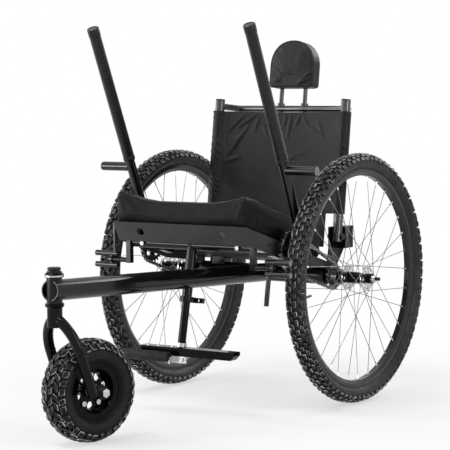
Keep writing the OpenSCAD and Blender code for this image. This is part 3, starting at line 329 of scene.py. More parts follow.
def satin_black():
    f = Finish("satin_black").rounded(0.001)
    f.colour(f.noise(14), grey(0.002), grey(0.005, 0.06))
    f.rough(f.noise(70), 0.15, 0.24)
    f.bump(f.noise(900, 2), 0.04, 0.0002)
    return f.set(Specular_IOR_Level=0.2).material


def tube_black():
    """The glossier paint of the backrest's tubes."""
    f = Finish("tube_black").rounded(0.0008)
    f.colour(f.noise(14), grey(0.05), grey(0.09, 0.04))
    f.rough(f.noise(70), 0.14, 0.22)
    f.bump(f.noise(900, 2), 0.03, 0.0002)
    return f.set(Metallic=0.8, Specular_IOR_Level=0.5).material


def pan_grey():
    f = Finish("pan_grey").rounded(0.0014)
    f.colour(f.noise(7, 5), grey(0.030), grey(0.046, 0.04))
    f.rough(f.noise(35, 4), 0.34, 0.48)
    f.bump(f.noise(700, 3), 0.14, 0.0004)
    return f.set(Specular_IOR_Level=0.2).material


def anodised():
    f = Finish("anodised").rounded(0.0006)
    f.colour(f.noise(30), grey(0.010), grey(0.020, 0.1))
    f.rough(f.noise(120, 4), 0.18, 0.28)
    f.bump(f.noise(1100, 2), 0.05, 0.0002)
    return f.set(Metallic=0.3, Specular_IOR_Level=0.42).material


def ringed(name, axis, rings):
    """Black metal with bright bands where a turned piece has bare faces."""
    f = Finish(name)
    where = f.along(axis)
    mask = f.near(where, *rings[0])
    for ring in rings[1:]:
        mask = f.joined(mask, f.near(where, *ring), "MAXIMUM")
    f.colour(f.joined(mask, f.between(f.noise(90, 4), 0.6, 1.0)), grey(0.008), grey(0.62), 0.0, 1.0)
    f.rough(f.noise(140, 4), 0.16, 0.28)
    f.bump(f.noise(1200, 2), 0.08, 0.0002)
    return f.set(Metallic=1.0).material


def peg_black(name, peg_end):
    """Black paint on a piece whose pegs end in bare grey faces."""
    f = Finish(name).rounded(0.001)
    ends = f.near(f.along("X"), peg_end, PEG_FACE)
    f.colour(f.joined(ends, f.between(f.noise(80, 4), 0.7, 1.0)), grey(0.004), grey(0.17), 0.0, 1.0)
    f.rough(f.noise(70), 0.12, 0.2)
    f.bump(f.noise(900, 2), 0.02, 0.0002)
    return f.set(Specular_IOR_Level=0.42).material


def steel():
    f = Finish("steel").rounded(0.0006)
    f.colour(f.noise(60, 4), grey(0.42), grey(0.66, 0.02))
    f.rough(f.noise(160, 3), 0.16, 0.3)
    f.bump(f.noise(1400, 2), 0.08, 0.0002)
    return f.set(Metallic=1.0).material


def spoke_steel():
    f = Finish("spoke_steel")
    ends = f.between(f.from_axis(AXLE), 0.0, 1.0, NIPPLE_START - NIPPLE_EDGE, NIPPLE_START + NIPPLE_EDGE)
    f.colour(f.joined(ends, f.between(f.noise(40, 4), 0.0, 0.25), "ADD"), grey(0.15), grey(0.85), 0.0, 1.0)
    f.rough(f.noise(160, 3), 0.24, 0.36)
    f.bump(f.noise(1400, 2), 0.08, 0.0002)
    return f.set(Metallic=1.0).material


def cog_steel():
    f = Finish("cog_steel")
    f.colour(f.noise(70, 4), grey(0.05), grey(0.30, 0.02))
    f.rough(f.noise(140, 4), 0.22, 0.4)
    f.bump(f.noise(1100, 2), 0.1, 0.0002)
    return f.set(Metallic=1.0).material


def chain_steel():
    f = Finish("chain_steel")
    f.colour(f.noise(90, 5), (0.05, 0.047, 0.043), grey(0.34))
    f.rough(f.noise(140, 4), 0.22, 0.42)
    f.bump(f.noise(900, 3), 0.12, 0.0002)
    return f.set(Metallic=1.0).material


def black_plastic():
    f = Finish("black_plastic").rounded(0.001)
    f.colour(f.noise(25), grey(0.006), grey(0.012))
    f.rough(f.noise(80), 0.38, 0.52)
    f.bump(f.noise(1200, 3), 0.2, 0.0003)
    return f.set(Specular_IOR_Level=0.2).material


def tyre_rubber(name, dark, light, gloss):
    f = Finish(name)
    f.colour(f.noise(24, 6), grey(dark), grey(light, 0.02))
    f.rough(f.noise(60, 5), 0.4, 0.58)
    f.bump(f.noise(320, 6), 0.35, 0.0006)
    return f.set(Specular_IOR_Level=gloss).material


def painted_tread_highlight():
    """Painted highlights on the chamfered edges of the tread blocks, standing for light that the edges catch."""
    f = Finish("painted_tread_highlight")
    # The lighter greys in this ramp are painted highlight on the blocks' edges.
    f.colour(f.noise(58, 7), grey(0.022), grey(0.62, 0.02), 0.42, 0.68)
    f.rough(f.noise(90, 5), 0.3, 0.5)
    f.bump(f.noise(520, 5), 0.3, 0.0004)
    return f.set(Specular_IOR_Level=0.4).material


def grip_rubber():
    f = Finish("grip_rubber")
    f.colour(f.noise(45, 6), grey(0.003), grey(0.007, 0.04))
    f.rough(f.noise(110, 4), 0.2, 0.32)
    f.bump(f.noise(650, 5), 0.3, 0.0006)
    return f.set(Specular_IOR_Level=0.32).material


def foam():
    f = Finish("foam")
    f.colour(f.noise(60, 6), grey(0.012), grey(0.026, 0.03))
    f.rough(f.noise(110, 4), 0.62, 0.8)
    f.bump(f.noise(900, 5), 0.4, 0.0006)
    return f.set(Specular_IOR_Level=0.16).material


def nylon(name, dark, light, gloss):
    f = Finish(name)
    f.colour(f.noise(18, 6), grey(dark), grey(light, 0.05))
    f.rough(f.noise(40, 4), 0.36, 0.47)
    weave = f.joined(f.bands(520, "X"), f.bands(520, "DIAGONAL"))
    f.bump(weave, 0.3, 0.0003)
    f.bump(f.noise(26, 5), 0.2, 0.003)
    return f.set(Sheen_Weight=0.04, Sheen_Roughness=0.45, Specular_IOR_Level=gloss).material


def thread():
    f = Finish("thread")
    f.colour(f.noise(300), grey(0.05), grey(0.12))
    f.rough(f.noise(200), 0.6, 0.8)
    f.bump(f.noise(2500), 0.4, 0.0002)
    return f.set(Specular_IOR_Level=0.15).material


FINISH = {
    "gloss_black": gloss_black(), "satin_black": satin_black(), "pan_grey": pan_grey(),
    "anodised": anodised(), "steel": steel(), "chain_steel": chain_steel(),
    "black_plastic": black_plastic(),
    "tyre": tyre_rubber("tyre_rubber", 0.013, 0.025, 0.2),
    "grip_rubber": grip_rubber(), "nylon": nylon("nylon", 0.0045, 0.0095, 0.17),
}
CUSHION_CLOTH = nylon("cushion_cloth", 0.004, 0.009, 0.07)
TUBES = tube_black()
THREAD = thread()
CASTER_RUBBER = tyre_rubber("caster_rubber", 0.007, 0.017, 0.12)
# Painted highlight for the chamfered edges of the tread blocks.
TREAD_HIGHLIGHT = painted_tread_highlight()
SPOKES = spoke_steel()
COG = cog_steel()
FORK = deep_black("fork_black", 0.004, 0.15)
CASTER_RIM = deep_black("caster_rim_black", 0.0014, 0.09)
FOOTREST = deep_black("footrest_black", 0.001, 0.1)
FOAM = foam()
HUB = ringed("hub_metal", "X", HUB_FLANGES)
HEADSET = ringed("headset_metal", "Z", [HEADSET_BAND])
BRAKE = peg_black("brake_black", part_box("left_brake")[1][0])
LEVER = peg_black("lever_black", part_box("left_lever")[1][0])
OWN_FINISH = {
    "left_spokes": SPOKES, "right_spokes": SPOKES, "left_hub": HUB, "right_hub": HUB,
    "headset_cups": HEADSET, "caster_fork": FORK, "caster_rim": CASTER_RIM,
    "foot_beam": FOOTREST, "foot_post": FOOTREST,
    "pan_bolts": COG, "left_cog": COG, "right_cog": COG,
    "back_canes": TUBES, "back_bar": TUBES, "headrest_rods": TUBES,
    "left_brake": BRAKE, "right_brake": BRAKE, "left_lever": LEVER, "right_lever": LEVER,
}


def dress_cad_nodes():
    for part in frame["record"]["subparts"]:
        mesh = NODES[part["node"]].data
        mesh.materials.clear()
        mesh.materials.append(OWN_FINISH.get(part["node"], FINISH[part["material_slot"]]))


def add_piece(obj, body, slot, *replaced):
    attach(obj, body)
    if replaced:
        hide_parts(*replaced)
    return obj


# Tyres

# A block's foot, shoulder and top, each as shares of its height, width and length
BLOCK_LEVELS = ((-0.25, 1.12, 1.1), (0.72, 1.0, 1.0), (1.0, 0.78, 0.84))
CORNERS = ((-1, -1), (1, -1), (1, 1), (-1, 1))


def tread_block(along, radius, lean, width, length, height, skew, turn):
    """A chamfered block at a place along a tyre's axis and a radius, leaning outward by an angle."""
    verts = []
    for up, wide, long in BLOCK_LEVELS:
        lift = up * height
        for sa, st in CORNERS:
            across = sa * width * wide / 2
            a = along + across * math.cos(lean) + lift * math.sin(lean)
            r = radius - across * math.sin(lean) + lift * math.cos(lean)
            t = turn + (st * length * long / 2 + skew * across) / radius
            verts.append((a, r * math.sin(t), r * math.cos(t)))
    faces = [(0, 3, 2, 1), (8, 9, 10, 11)]
    for level in (0, 4):
        for k in range(4):
            n = (k + 1) % 4
            faces.append((level + k, level + n, level + n + 4, level + k + 4))
    return verts, faces


# Shares by which the blocks of a row differ in pitch, width, length and skew, and weights that spread them
UNEVEN_PLACE = 0.05
UNEVEN_WIDTH = 0.07
UNEVEN_LENGTH = 0.12
UNEVEN_SKEW = 0.3
UNEVEN_FIRST = 12.9
UNEVEN_NEXT = 7.3
UNEVEN_SPREAD = 1.7
STAGGER = 0.5
BLOCK_EDGES = 4


def uneven(*numbers):
    """A fixed value from -1 to 1 that differs from block to block."""
    weighed = sum(n * (UNEVEN_FIRST + UNEVEN_NEXT * k) for k, n in enumerate(numbers))
    return math.sin(weighed * UNEVEN_SPREAD)


def add_mesh(verts, faces, more_verts, more_faces):
    """Adds one mesh's points and faces to another's lists."""
    base = len(verts)
    verts += more_verts
    faces += [[base + i for i in f] for f in more_faces]


def tyre(name, matrix, profile, rows, count, rubber, steps):
    """A carcass turned from half a profile, with staggered rows of blocks on both its sides."""
    loop = profile + [(-a, r) for a, r in reversed(profile) if a > 0]
    verts = turned(loop, steps)
    faces = grid_faces(steps, len(loop), True, True)
    highlit_faces = [0] * len(faces)
    for along, radius, lean, row_w, row_l, height, row_skew, phase in rows:
        for side in (-1, 1):
            for k in range(count):
                shift = phase + (STAGGER if side > 0 else 0) + UNEVEN_PLACE * uneven(k, side)
                width = row_w * (1 + UNEVEN_WIDTH * uneven(k, side, 1))
                length = row_l * (1 + UNEVEN_LENGTH * uneven(k, side, 2))
                skew = side * row_skew * (1 + UNEVEN_SKEW * uneven(k, side, 3))
                turn = 2 * math.pi * (k + shift) / count
                block = tread_block(side * along, radius, side * lean, width, length, height, skew, turn)
                add_mesh(verts, faces, *block)
                # Each block's four chamfer faces take the second material, a painted highlight.
                highlit_faces += [0] * (len(block[1]) - BLOCK_EDGES) + [1] * BLOCK_EDGES
    obj = new_object(name, [matrix @ Vector(v) for v in verts], faces, rubber)
    obj.data.materials.append(TREAD_HIGHLIGHT)
    obj.data.polygons.foreach_set("material_index", highlit_faces)
    sharpen(obj, 30)
    return obj


# Half profiles as (along, radius), and rows as along, radius, lean, width, length, height, skew and phase
REAR_BLOCKS = 84
REAR_STEPS = 192
REAR_PROFILE = [
    (0.0, 0.2835), (0.0108, 0.2835), (0.0108, 0.2863), (0.0132, 0.2872), (0.0146, 0.2885), (0.0143, 0.2893),
    (0.0155, 0.2905), (0.0198, 0.2945), (0.0226, 0.2995), (0.0229, 0.3002), (0.0236, 0.3006),
    (0.0238, 0.3045), (0.0226, 0.3095), (0.0194, 0.3142), (0.0146, 0.3176), (0.0082, 0.3198), (0.0, 0.3205),
]
REAR_ROWS = (
    (0.0056, 0.3202, 0.15, 0.0092, 0.0136, 0.0074, 0.35, 0.0),
    (0.0150, 0.3168, 0.50, 0.0070, 0.0112, 0.0074, -0.30, 0.5),
    (0.0206, 0.3114, 0.88, 0.0086, 0.0132, 0.0062, 0.0, 0.0),
)
CASTER_BLOCKS = 32
CASTER_STEPS = 128
CASTER_PROFILE = [
    (0.0, 0.0602), (0.0236, 0.0602), (0.0236, 0.0692), (0.0286, 0.0706), (0.0302, 0.0726), (0.0296, 0.0738),
    (0.0325, 0.0752), (0.0368, 0.0800), (0.0388, 0.0862), (0.0384, 0.0930), (0.0362, 0.1000),
    (0.0322, 0.1062), (0.0262, 0.1110), (0.0184, 0.1142), (0.0092, 0.1158), (0.0, 0.1162),
]
CASTER_ROWS = (
    (0.0080, 0.1158, 0.12, 0.0130, 0.0150, 0.0078, 0.75, 0.0),
    (0.0220, 0.1130, 0.36, 0.0124, 0.0140, 0.0072, -0.60, 0.5),
    (0.0334, 0.1052, 0.86, 0.0150, 0.0136, 0.0048, 0.25, 0.0),
)


def make_tyres():
    for side, sign in (("left", 1), ("right", -1)):
        at_wheel = axis_frame(Vector((sign * AXLE.x, AXLE.y, AXLE.z)), sign * SIDE)
        obj = tyre(f"{side}_tyre_tread", at_wheel, REAR_PROFILE, REAR_ROWS, REAR_BLOCKS,
                   FINISH["tyre"], REAR_STEPS)
        add_piece(obj, f"{side}_wheel", "tyre", f"{side}_tyre")
    at_caster = axis_frame(CASTER, CASTER_AXIS)
    obj = tyre("caster_tyre_tread", at_caster, CASTER_PROFILE, CASTER_ROWS, CASTER_BLOCKS,
               CASTER_RUBBER, CASTER_STEPS)
    add_piece(obj, "caster_wheel", "tyre", "caster_tyre")


# Grips

GRIP_L = 0.376
GRIP_TOP = 0.612
LEVER_LEAN = math.radians(23.5)
LEVER_SET_BACK = 0.0284


def lever_frame(sign):
    """Matrix with X up the lever, from the pivot's height on the lever's own line."""
    up = Vector((0, -math.sin(LEVER_LEAN), math.cos(LEVER_LEAN)))
    back = Vector((0, math.cos(LEVER_LEAN), math.sin(LEVER_LEAN)))
    pivot = Vector((sign * PIVOT.x, PIVOT.y, PIVOT.z))
    return axis_frame(pivot + LEVER_SET_BACK * back, up, Vector((0, -1, 0)))


# A grip's lower collar, one of its ribs and its top, as (along, radius) from where each begins or ends
GRIP_COLLAR = ((0, 0.0127), (0, 0.0150), (0.0015, 0.0156), (0.009, 0.0156), (0.0105, 0.0151))
GRIP_RIB = ((0, 0.0151), (0.0039, 0.0151), (0.0044, 0.0147), (0.0050, 0.0147))
GRIP_CAP = (
    (-0.024, 0.0150), (-0.0225, 0.0158), (-0.004, 0.0160), (-0.0012, 0.0154),
    (0, 0.0138), (0, 0.0120), (-0.0012, 0.0112), (-0.0012, 0.0005),
)
RIB_PITCH = 0.0056
RIBS_START = 0.012
RIBS_SHORT = 0.04


def grip_profile():
    low = GRIP_TOP - GRIP_L
    points = [(low + a, r) for a, r in GRIP_COLLAR]
    for k in range(int((GRIP_L - RIBS_SHORT) / RIB_PITCH)):
        points += [(low + RIBS_START + k * RIB_PITCH + a, r) for a, r in GRIP_RIB]
    return points + [(GRIP_TOP + a, r) for a, r in GRIP_CAP]


def make_grips():
    for side, sign in (("left", 1), ("right", -1)):
        obj = spun_rod(f"{side}_grip_foam", grip_profile(), lever_frame(sign), FINISH["grip_rubber"])
        add_piece(obj, f"{side}_lever", "grip_rubber", f"{side}_grip")


# Toe roll

ROLL_PROUD = 0.0016
ROLL_BOW = 0.0003
ROLL_EDGE = 0.0030
ROLL_EASE = 0.3 * ROLL_EDGE
ROLL_RECESS = 0.002
ROLL_LIP = 0.0008
POINT_R = 0.0005


def make_toe_roll():
    """A foam roll on the footrest, a little fuller than its rod and set forward by as much."""
    low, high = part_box("foot_roll")
    r = (high[2] - low[2]) / 2 + ROLL_PROUD
    length = high[0] - low[0]
    bore = r / 2
    points = [(ROLL_RECESS, POINT_R), (ROLL_RECESS, bore), (0, bore + ROLL_LIP), (0, r - ROLL_EDGE)]
    points += [(ROLL_EASE, r - ROLL_EASE), (ROLL_EDGE, r), (length / 2, r + ROLL_BOW)]
    points += [(length - a, s) for a, s in points[-2::-1]]
    place = Vector((low[0], (low[1] + high[1]) / 2 - ROLL_PROUD, (low[2] + high[2]) / 2))
    obj = spun_rod("toe_roll_foam", points, axis_frame(place, SIDE), FOAM)
    add_piece(obj, "footrest", "grip_rubber", "foot_roll")


# Soft goods

def soft_power(value, n):
    return math.copysign(abs(value) ** (2 / n), value)


CREASE_END = 0.06
CREASE_TAPER = 0.6


def crease(points, start, stop, width, height):
    """Height of a soft ridge along a segment, tapering to its ends, at 2-D points."""
    p = np.array(start)
    d = np.array(stop) - p
    length = np.linalg.norm(d)
    t = np.clip((points - p) @ d / length ** 2, 0, 1)
    away = np.linalg.norm(points - (p + t[:, None] * d), axis=1)
    taper = np.sin(np.pi * np.clip(CREASE_END + (1 - CREASE_END) * t, 0, 1)) ** CREASE_TAPER
    return height * taper * np.exp(-(away / width) ** 2)


def remesh(obj, voxel):
    mod = obj.modifiers.new("remesh", "REMESH")
    mod.mode = "VOXEL"
    mod.voxel_size = voxel
    mod.use_smooth_shade = True
    apply_modifiers(obj)


def inflate(obj, pressure, cap, frames=16, stiffness=15):
    """Swells a closed piece as cloth under pressure, with each point held within cap of its start."""
    rest = coordinates(obj)
    mod = obj.modifiers.new("cloth", "CLOTH")
    mod.settings.use_pressure = True
    mod.settings.uniform_pressure_force = pressure
    mod.settings.tension_stiffness = stiffness
    mod.settings.compression_stiffness = stiffness
    mod.settings.shear_stiffness = stiffness / 3
    mod.settings.effector_weights.gravity = 0
    mod.settings.quality = 5
    scene = bpy.context.scene
    for k in range(1, frames + 1):
        scene.frame_set(k)
    apply_modifiers(obj)
    scene.frame_set(1)
    moved = coordinates(obj) - rest
    far = np.linalg.norm(moved, axis=1, keepdims=True)
    scale = np.minimum(1, cap / np.maximum(far, 1e-9))
    set_coordinates(obj, rest + moved * scale)


def finish_soft(obj, levels=1):
    obj.data.polygons.foreach_set("use_smooth", [True] * len(obj.data.polygons))
    if levels:
        mod = obj.modifiers.new("subdivision", "SUBSURF")
        mod.levels = levels
        mod.render_levels = levels
        apply_modifiers(obj)
        obj.data.polygons.foreach_set("use_smooth", [True] * len(obj.data.polygons))


# Cushion

PAN_TILT = math.radians(17)
PAN_FRONT = Vector((0, AXLE.y - 0.399, 0.487))
CUSHION_W = 0.408
CUSHION_L = 0.382
CUSHION_T = 0.061
CUSHION_RISE = 0.027
CUSHION_DISH = 4
CUSHION_LEAN = math.tan(math.radians(14))
CUSHION_FRONT = 0.006
CUSHION_BACK = 0.003
CUSHION_LIFT = 0.0003
CUSHION_VOXEL = 0.006
CUSHION_PRESSURE = 3.0
CUSHION_SWELL = 0.003
CUSHION_INSET = 0.0025
CUSHION_BOTTOM = 0.0006
CUSHION_POINTS = 112

# Rings from the cushion's foot to the middle of its top, in shares of its plan and its height
RING_SCALES = (0.97, 1, 1, 1, 0.99, 0.962, 0.85, 0.65, 0.4, 0.18, 0.02)
RING_HEIGHTS = (0.004, 0.12, 0.45, 0.80, 0.935, 0.988, 1, 1, 1, 1, 1)
CORNER_DRAW = 0.028
SIDE_DRAW = 0.004
CORNER_SHARP = 8
TOP_SHARE = 0.85
SIDE_PULL = 0.012


def pan_frame():
    m = Matrix.Rotation(-PAN_TILT, 4, "X")
    m.translation = PAN_FRONT
    return m


def around(t):
    """One coordinate of a walk of 8 units round a square of half-side 1, from the middle of a side."""
    s = t % 8
    return s if s < 1 else 1 if s < 3 else 4 - s if s < 5 else -1 if s < 7 else s - 8


def capped_rings(rings, n):
    """Faces of a closed form made of rings of n points each."""
    faces = grid_faces(rings, n, False, True)
    faces.append(list(range(n)))
    faces.append(list(range((rings - 1) * n, rings * n))[::-1])
    return faces


def cushion_start():
    """The cushion before it swells: its corners drawn in, its sides pulled in and its top dished."""
    n = CUSHION_POINTS
    half_w, half_l = CUSHION_W / 2 - CUSHION_INSET, CUSHION_L / 2 - CUSHION_INSET
    verts = []
    for s, h in zip(RING_SCALES, RING_HEIGHTS):
        draw = CORNER_DRAW if h > TOP_SHARE else SIDE_DRAW
        for j in range(n):
            u, v = around(8 * j / n + 2), around(8 * j / n)
            drawn = s * (1 - draw * min(abs(u), abs(v)) ** CORNER_SHARP)
            x = half_w * u * drawn * (1 - SIDE_PULL * (1 - v * v))
            y = half_l * v * drawn * (1 - SIDE_PULL * (1 - u * u))
            dish = CUSHION_RISE * abs(2 * x / CUSHION_W) ** CUSHION_DISH
            z = h * (CUSHION_T + dish - CUSHION_INSET / 2)
            verts.append((x, y - CUSHION_LEAN * z, z))
    return verts, capped_rings(len(RING_SCALES), n)


# Folds as start, stop, width and height: across in half widths, along in half lengths and up in metres
FOLD_DEPTH = 0.03
TOP_FROM = 0.045
FRONT_FOLDS = (
    ((0.93, 0.074), (0.70, 0.030), 0.0055, 0.0026), ((0.86, 0.070), (0.50, 0.046), 0.0055, 0.0022),
    ((0.96, 0.066), (0.84, 0.012), 0.0055, 0.0024), ((0.78, 0.064), (0.36, 0.054), 0.006, 0.0016),
)
TOP_FOLDS = (
    ((0.94, -0.94), (0.60, -0.62), 0.009, 0.0032), ((0.90, -0.96), (0.44, -0.80), 0.008, 0.0024),
    ((0.95, -0.80), (0.76, -0.30), 0.009, 0.0026), ((0.90, 0.90), (0.5, 0.5), 0.012, 0.0028),
)


def cushion_creases(co):
    """Soft folds that run down and in from the cushion's front corners, and across its top."""
    half_w, half_l = CUSHION_W / 2, CUSHION_L / 2
    back = co[:, 1] + CUSHION_LEAN * co[:, 2]
    front = back < -half_l + FOLD_DEPTH
    face = np.stack([co[:, 0], co[:, 2]], 1)
    plan = np.stack([co[:, 0], back], 1)
    out = np.zeros(len(co))
    rise = np.zeros(len(co))
    for side in (-1, 1):
        for start, stop, width, height in FRONT_FOLDS:
            out += crease(face, (side * start[0] * half_w, start[1]), (side * stop[0] * half_w, stop[1]),
                          width, height)
        for start, stop, width, height in TOP_FOLDS:
            rise += crease(plan, (side * start[0] * half_w, start[1] * half_l),
                           (side * stop[0] * half_w, stop[1] * half_l), width, height)
    co[front, 1] -= out[front]
    top = co[:, 2] > TOP_FROM
    co[top, 2] += rise[top]
    return co


def make_cushion():
    verts, faces = cushion_start()
    obj = new_object("cushion_cover", verts, faces, CUSHION_CLOTH)
    remesh(obj, CUSHION_VOXEL)
    inflate(obj, CUSHION_PRESSURE, CUSHION_SWELL)
    co = cushion_creases(coordinates(obj))
    co[:, 2] = np.maximum(co[:, 2], CUSHION_BOTTOM)
    set_coordinates(obj, co)
    finish_soft(obj)
    middle = CUSHION_FRONT - CUSHION_BACK + CUSHION_L / 2
    obj.data.transform(pan_frame() @ Matrix.Translation((0, middle, CUSHION_LIFT)))
    obj.data.materials.clear()
    obj.data.materials.append(CUSHION_CLOTH)
    add_piece(obj, "frame", "nylon", "seat_cushion")


# Sling

CANE_X = 0.203
CANE_R = 0.013
SLING_LOW = 0.060
SLING_H = 0.274
SLING_SAG = 0.018
FLAP_H = 0.090
FLAP_X = 0.163
SLEEVE_R = CANE_R + 0.0022
SEAM_X = CANE_X - 0.019
SEAM_BACK = 0.0042
SEAM_DIP = (0.0036, -0.0026)
SLEEVE_TURN = 300
SLEEVE_STEPS = 24
SLING_COLUMNS = 131
SLING_ROWS = 112
FLAP_ROWS = 32
CLOTH_T = 0.0014


def back_frame():
    return axis_frame(HINGE, SIDE, BACK_UP)


def sling_path():
    """Points (x, y) round one cane, across the back and round the other, in the backrest's frame."""
    right = [(SEAM_X, SEAM_BACK)]
    for k in range(SLEEVE_STEPS + 1):
        t = math.radians(SLEEVE_TURN / 2 - SLEEVE_TURN * k / SLEEVE_STEPS)
        right.append((CANE_X + SLEEVE_R * math.cos(t), SLEEVE_R * math.sin(t)))
    right.append((SEAM_X + SEAM_DIP[0], SEAM_DIP[1]))
    columns = np.linspace(SEAM_X, -SEAM_X, SLING_COLUMNS)
    across = [(x, SLING_SAG * (1 - (x / SEAM_X) ** 2)) for x in columns]
    left = [(-x, y) for x, y in reversed(right)]
    return right + across + left


# Creases in the sling: start and stop in half widths and heights of the sling, then width and height
SLING_CREASES = (
    ((-0.97, 0.50), (-0.58, 0.88), 0.0045, 0.0036), ((-0.94, 0.79), (-0.68, 0.97), 0.0038, 0.0032),
    ((-0.80, 0.83), (-0.46, 0.98), 0.0038, 0.0030), ((-0.50, 0.80), (-0.43, 0.95), 0.0036, 0.0022),
    ((-0.98, 0.48), (-0.68, 0.55), 0.0045, 0.0024), ((-0.80, 0.60), (-0.72, 0.86), 0.0050, 0.0016),
    ((-0.955, 0.99), (-0.985, 0.50), 0.0036, 0.0034), ((-0.34, 0.86), (-0.28, 0.76), 0.0040, 0.0014),
    ((0.13, 0.97), (0.075, 0.73), 0.0038, 0.0028), ((0.29, 0.97), (0.20, 0.85), 0.0036, 0.0028),
    ((0.33, 0.97), (0.44, 0.86), 0.0036, 0.0024), ((0.44, 0.86), (0.72, 0.76), 0.0045, 0.0020),
    ((0.03, 0.97), (0.00, 0.84), 0.0036, 0.0020), ((0.10, 0.52), (0.24, 0.57), 0.0045, 0.0018),
    ((0.24, 0.57), (0.46, 0.61), 0.0045, 0.0014), ((0.60, 0.92), (0.76, 0.72), 0.0060, 0.0014),
    ((-0.96, 0.26), (-0.66, 0.06), 0.0060, 0.0024), ((0.96, 0.24), (0.60, 0.05), 0.0060, 0.0024),
    ((-0.70, 0.34), (-0.24, 0.24), 0.0100, 0.0010), ((-0.30, 0.44), (0.10, 0.40), 0.0120, 0.0010),
)
# Shares and sizes of the folds, the puckers along the sleeves and the ripple in the flap
SLING_CREASE_SHARE = 1.2
HEM_FADE = 0.012
HEM_SHARE = 0.3
SEAM_FADE = 0.02
PUCKER = 0.0024
PUCKER_SLANT = 0.8
PUCKER_RATE = 370
PUCKER_DRIFT = 2.2
PUCKER_DRIFT_RATE = 37
PATCH_SHARE = 0.45
PATCH_RATE = 61
FLAP_RIPPLE = 0.0022
FLAP_WAVE = 0.083


def creases_at(where, creases, wide, tall):
    """Height of a set of creases at 2-D points, with their ends in shares of a width and a height."""
    lift = np.zeros(len(where))
    size = np.array((wide, tall))
    for start, stop, width, height in creases:
        lift += crease(where, start * size, stop * size, width, height)
    return lift


def sling_folds(co):
    """Pulls the cloth into its creases, puckers the sleeves at their seams and ripples the flap's hem."""
    away = np.abs(co[:, 0])
    high = co[:, 2] - SLING_LOW
    where = np.stack([co[:, 0] / SEAM_X * CANE_X, high], 1)
    lift = SLING_CREASE_SHARE * creases_at(where, SLING_CREASES, CANE_X, SLING_H)
    edge = np.clip(np.minimum(high, SLING_H - high) / HEM_FADE, 0, 1)
    inside = np.clip((SEAM_X - away) / SEAM_FADE, 0, 1)
    co[:, 1] -= lift * inside * (HEM_SHARE + (1 - HEM_SHARE) * edge)
    sleeve = (away > SEAM_X) & (away < CANE_X + SLEEVE_R)
    wave = co[sleeve, 2] + PUCKER_SLANT * co[sleeve, 0]
    patchy = (1 - PATCH_SHARE + PATCH_SHARE * np.sin(PATCH_RATE * co[sleeve, 2])) * (co[sleeve, 1] < 0)
    drift = PUCKER_DRIFT * np.sin(PUCKER_DRIFT_RATE * wave)
    co[sleeve, 1] -= PUCKER * patchy * np.maximum(0, np.sin(wave * PUCKER_RATE + drift))
    flap = np.clip(-high / FLAP_H, 0, 1)
    co[:, 1] += FLAP_RIPPLE * flap * np.sin(co[:, 0] * 2 * math.pi / FLAP_WAVE)
    return co


def make_sling():
    path = np.array(sling_path())
    wide = len(path)
    flap_heights = np.linspace(-FLAP_H, 0, FLAP_ROWS, endpoint=False)
    heights = np.concatenate([flap_heights, np.linspace(0, SLING_H, SLING_ROWS)])
    co = sling_folds(np.array([(x, y, SLING_LOW + h) for h in heights for x, y in path]))
    middle = np.abs(path[:, 0]) < FLAP_X
    middle &= np.abs(np.arange(wide) - (wide - 1) / 2) < SLING_COLUMNS / 2
    faces = []
    for i in range(len(heights) - 1):
        for j in range(wide - 1):
            if i >= FLAP_ROWS or (middle[j] and middle[j + 1]):
                a = i * wide + j
                faces.append((a, a + 1, a + wide + 1, a + wide))
    used = sorted({v for f in faces for v in f})
    index = {v: k for k, v in enumerate(used)}
    obj = new_object("sling_cloth", co[used], [[index[v] for v in f] for f in faces], FINISH["nylon"])
    mod = obj.modifiers.new("cloth_thickness", "SOLIDIFY")
    mod.thickness = CLOTH_T
    mod.offset = 1.0
    apply_modifiers(obj)
    finish_soft(obj, 0)
    m = back_frame()
    obj.data.transform(m)
    add_piece(obj, "backrest", "nylon", "back_sling")
    make_sling_stitches(m)


STITCH_PITCH = 0.0042
STITCH_L = 0.0027
STITCH_T = 0.00045
STITCH_TAPER = 0.7
STITCH_END = 0.004
STITCH_ROWS = ((SEAM_X + 0.0004, -0.0019), (SEAM_X + 0.0034, -0.0040))
BOX_FACES = ((3, 2, 1, 0), (4, 5, 6, 7), (0, 1, 5, 4), (1, 2, 6, 5), (2, 3, 7, 6), (3, 0, 4, 7))


def stitch_row(start, stop):
    """Short raised stitches along a straight line, as points and faces."""
    verts, faces = [], []
    p, q = Vector(start), Vector(stop)
    count = int((q - p).length / STITCH_PITCH)
    along = (q - p).normalized()
    side = along.cross(Vector((0, 1, 0))).normalized()
    out = Vector((0, -1, 0))
    for k in range(count):
        c = p + (q - p) * (k + 0.5) / count
        stitch = []
        for lift, share in ((0, 1), (STITCH_T, STITCH_TAPER)):
            for sa, sb in CORNERS:
                corner = along * sa * STITCH_L / 2 + side * sb * STITCH_T
                stitch.append(c + corner * share + out * lift)
        add_mesh(verts, faces, stitch, BOX_FACES)
    return verts, faces


def make_sling_stitches(matrix):
    low, high = SLING_LOW + STITCH_END, SLING_LOW + SLING_H - STITCH_END
    verts, faces = [], []
    for side in (-1, 1):
        for x, y in STITCH_ROWS:
            add_mesh(verts, faces, *stitch_row((side * x, y, low), (side * x, y, high)))
    obj = new_object("sling_stitches", [matrix @ Vector(v) for v in verts], faces, THREAD, smooth=False)
    add_piece(obj, "backrest", "nylon")


# Headrest

PAD_W = 0.138
PAD_H = 0.130
PAD_T = 0.042
PAD_SPLIT = 0.45
BAR_BOW = 0.057
PAD_LOW = 0.405
PAD_POINTS = 120
PAD_VOXEL = 0.0032
PAD_FACE = -0.012
PAD_CREASE_SHARE = 1.3
PAD_CROWN = 0.006
PIPING_POINTS = 160
PIPING_R = 0.0016
PIPING_IN = 0.985
PIPING_AT = -0.44

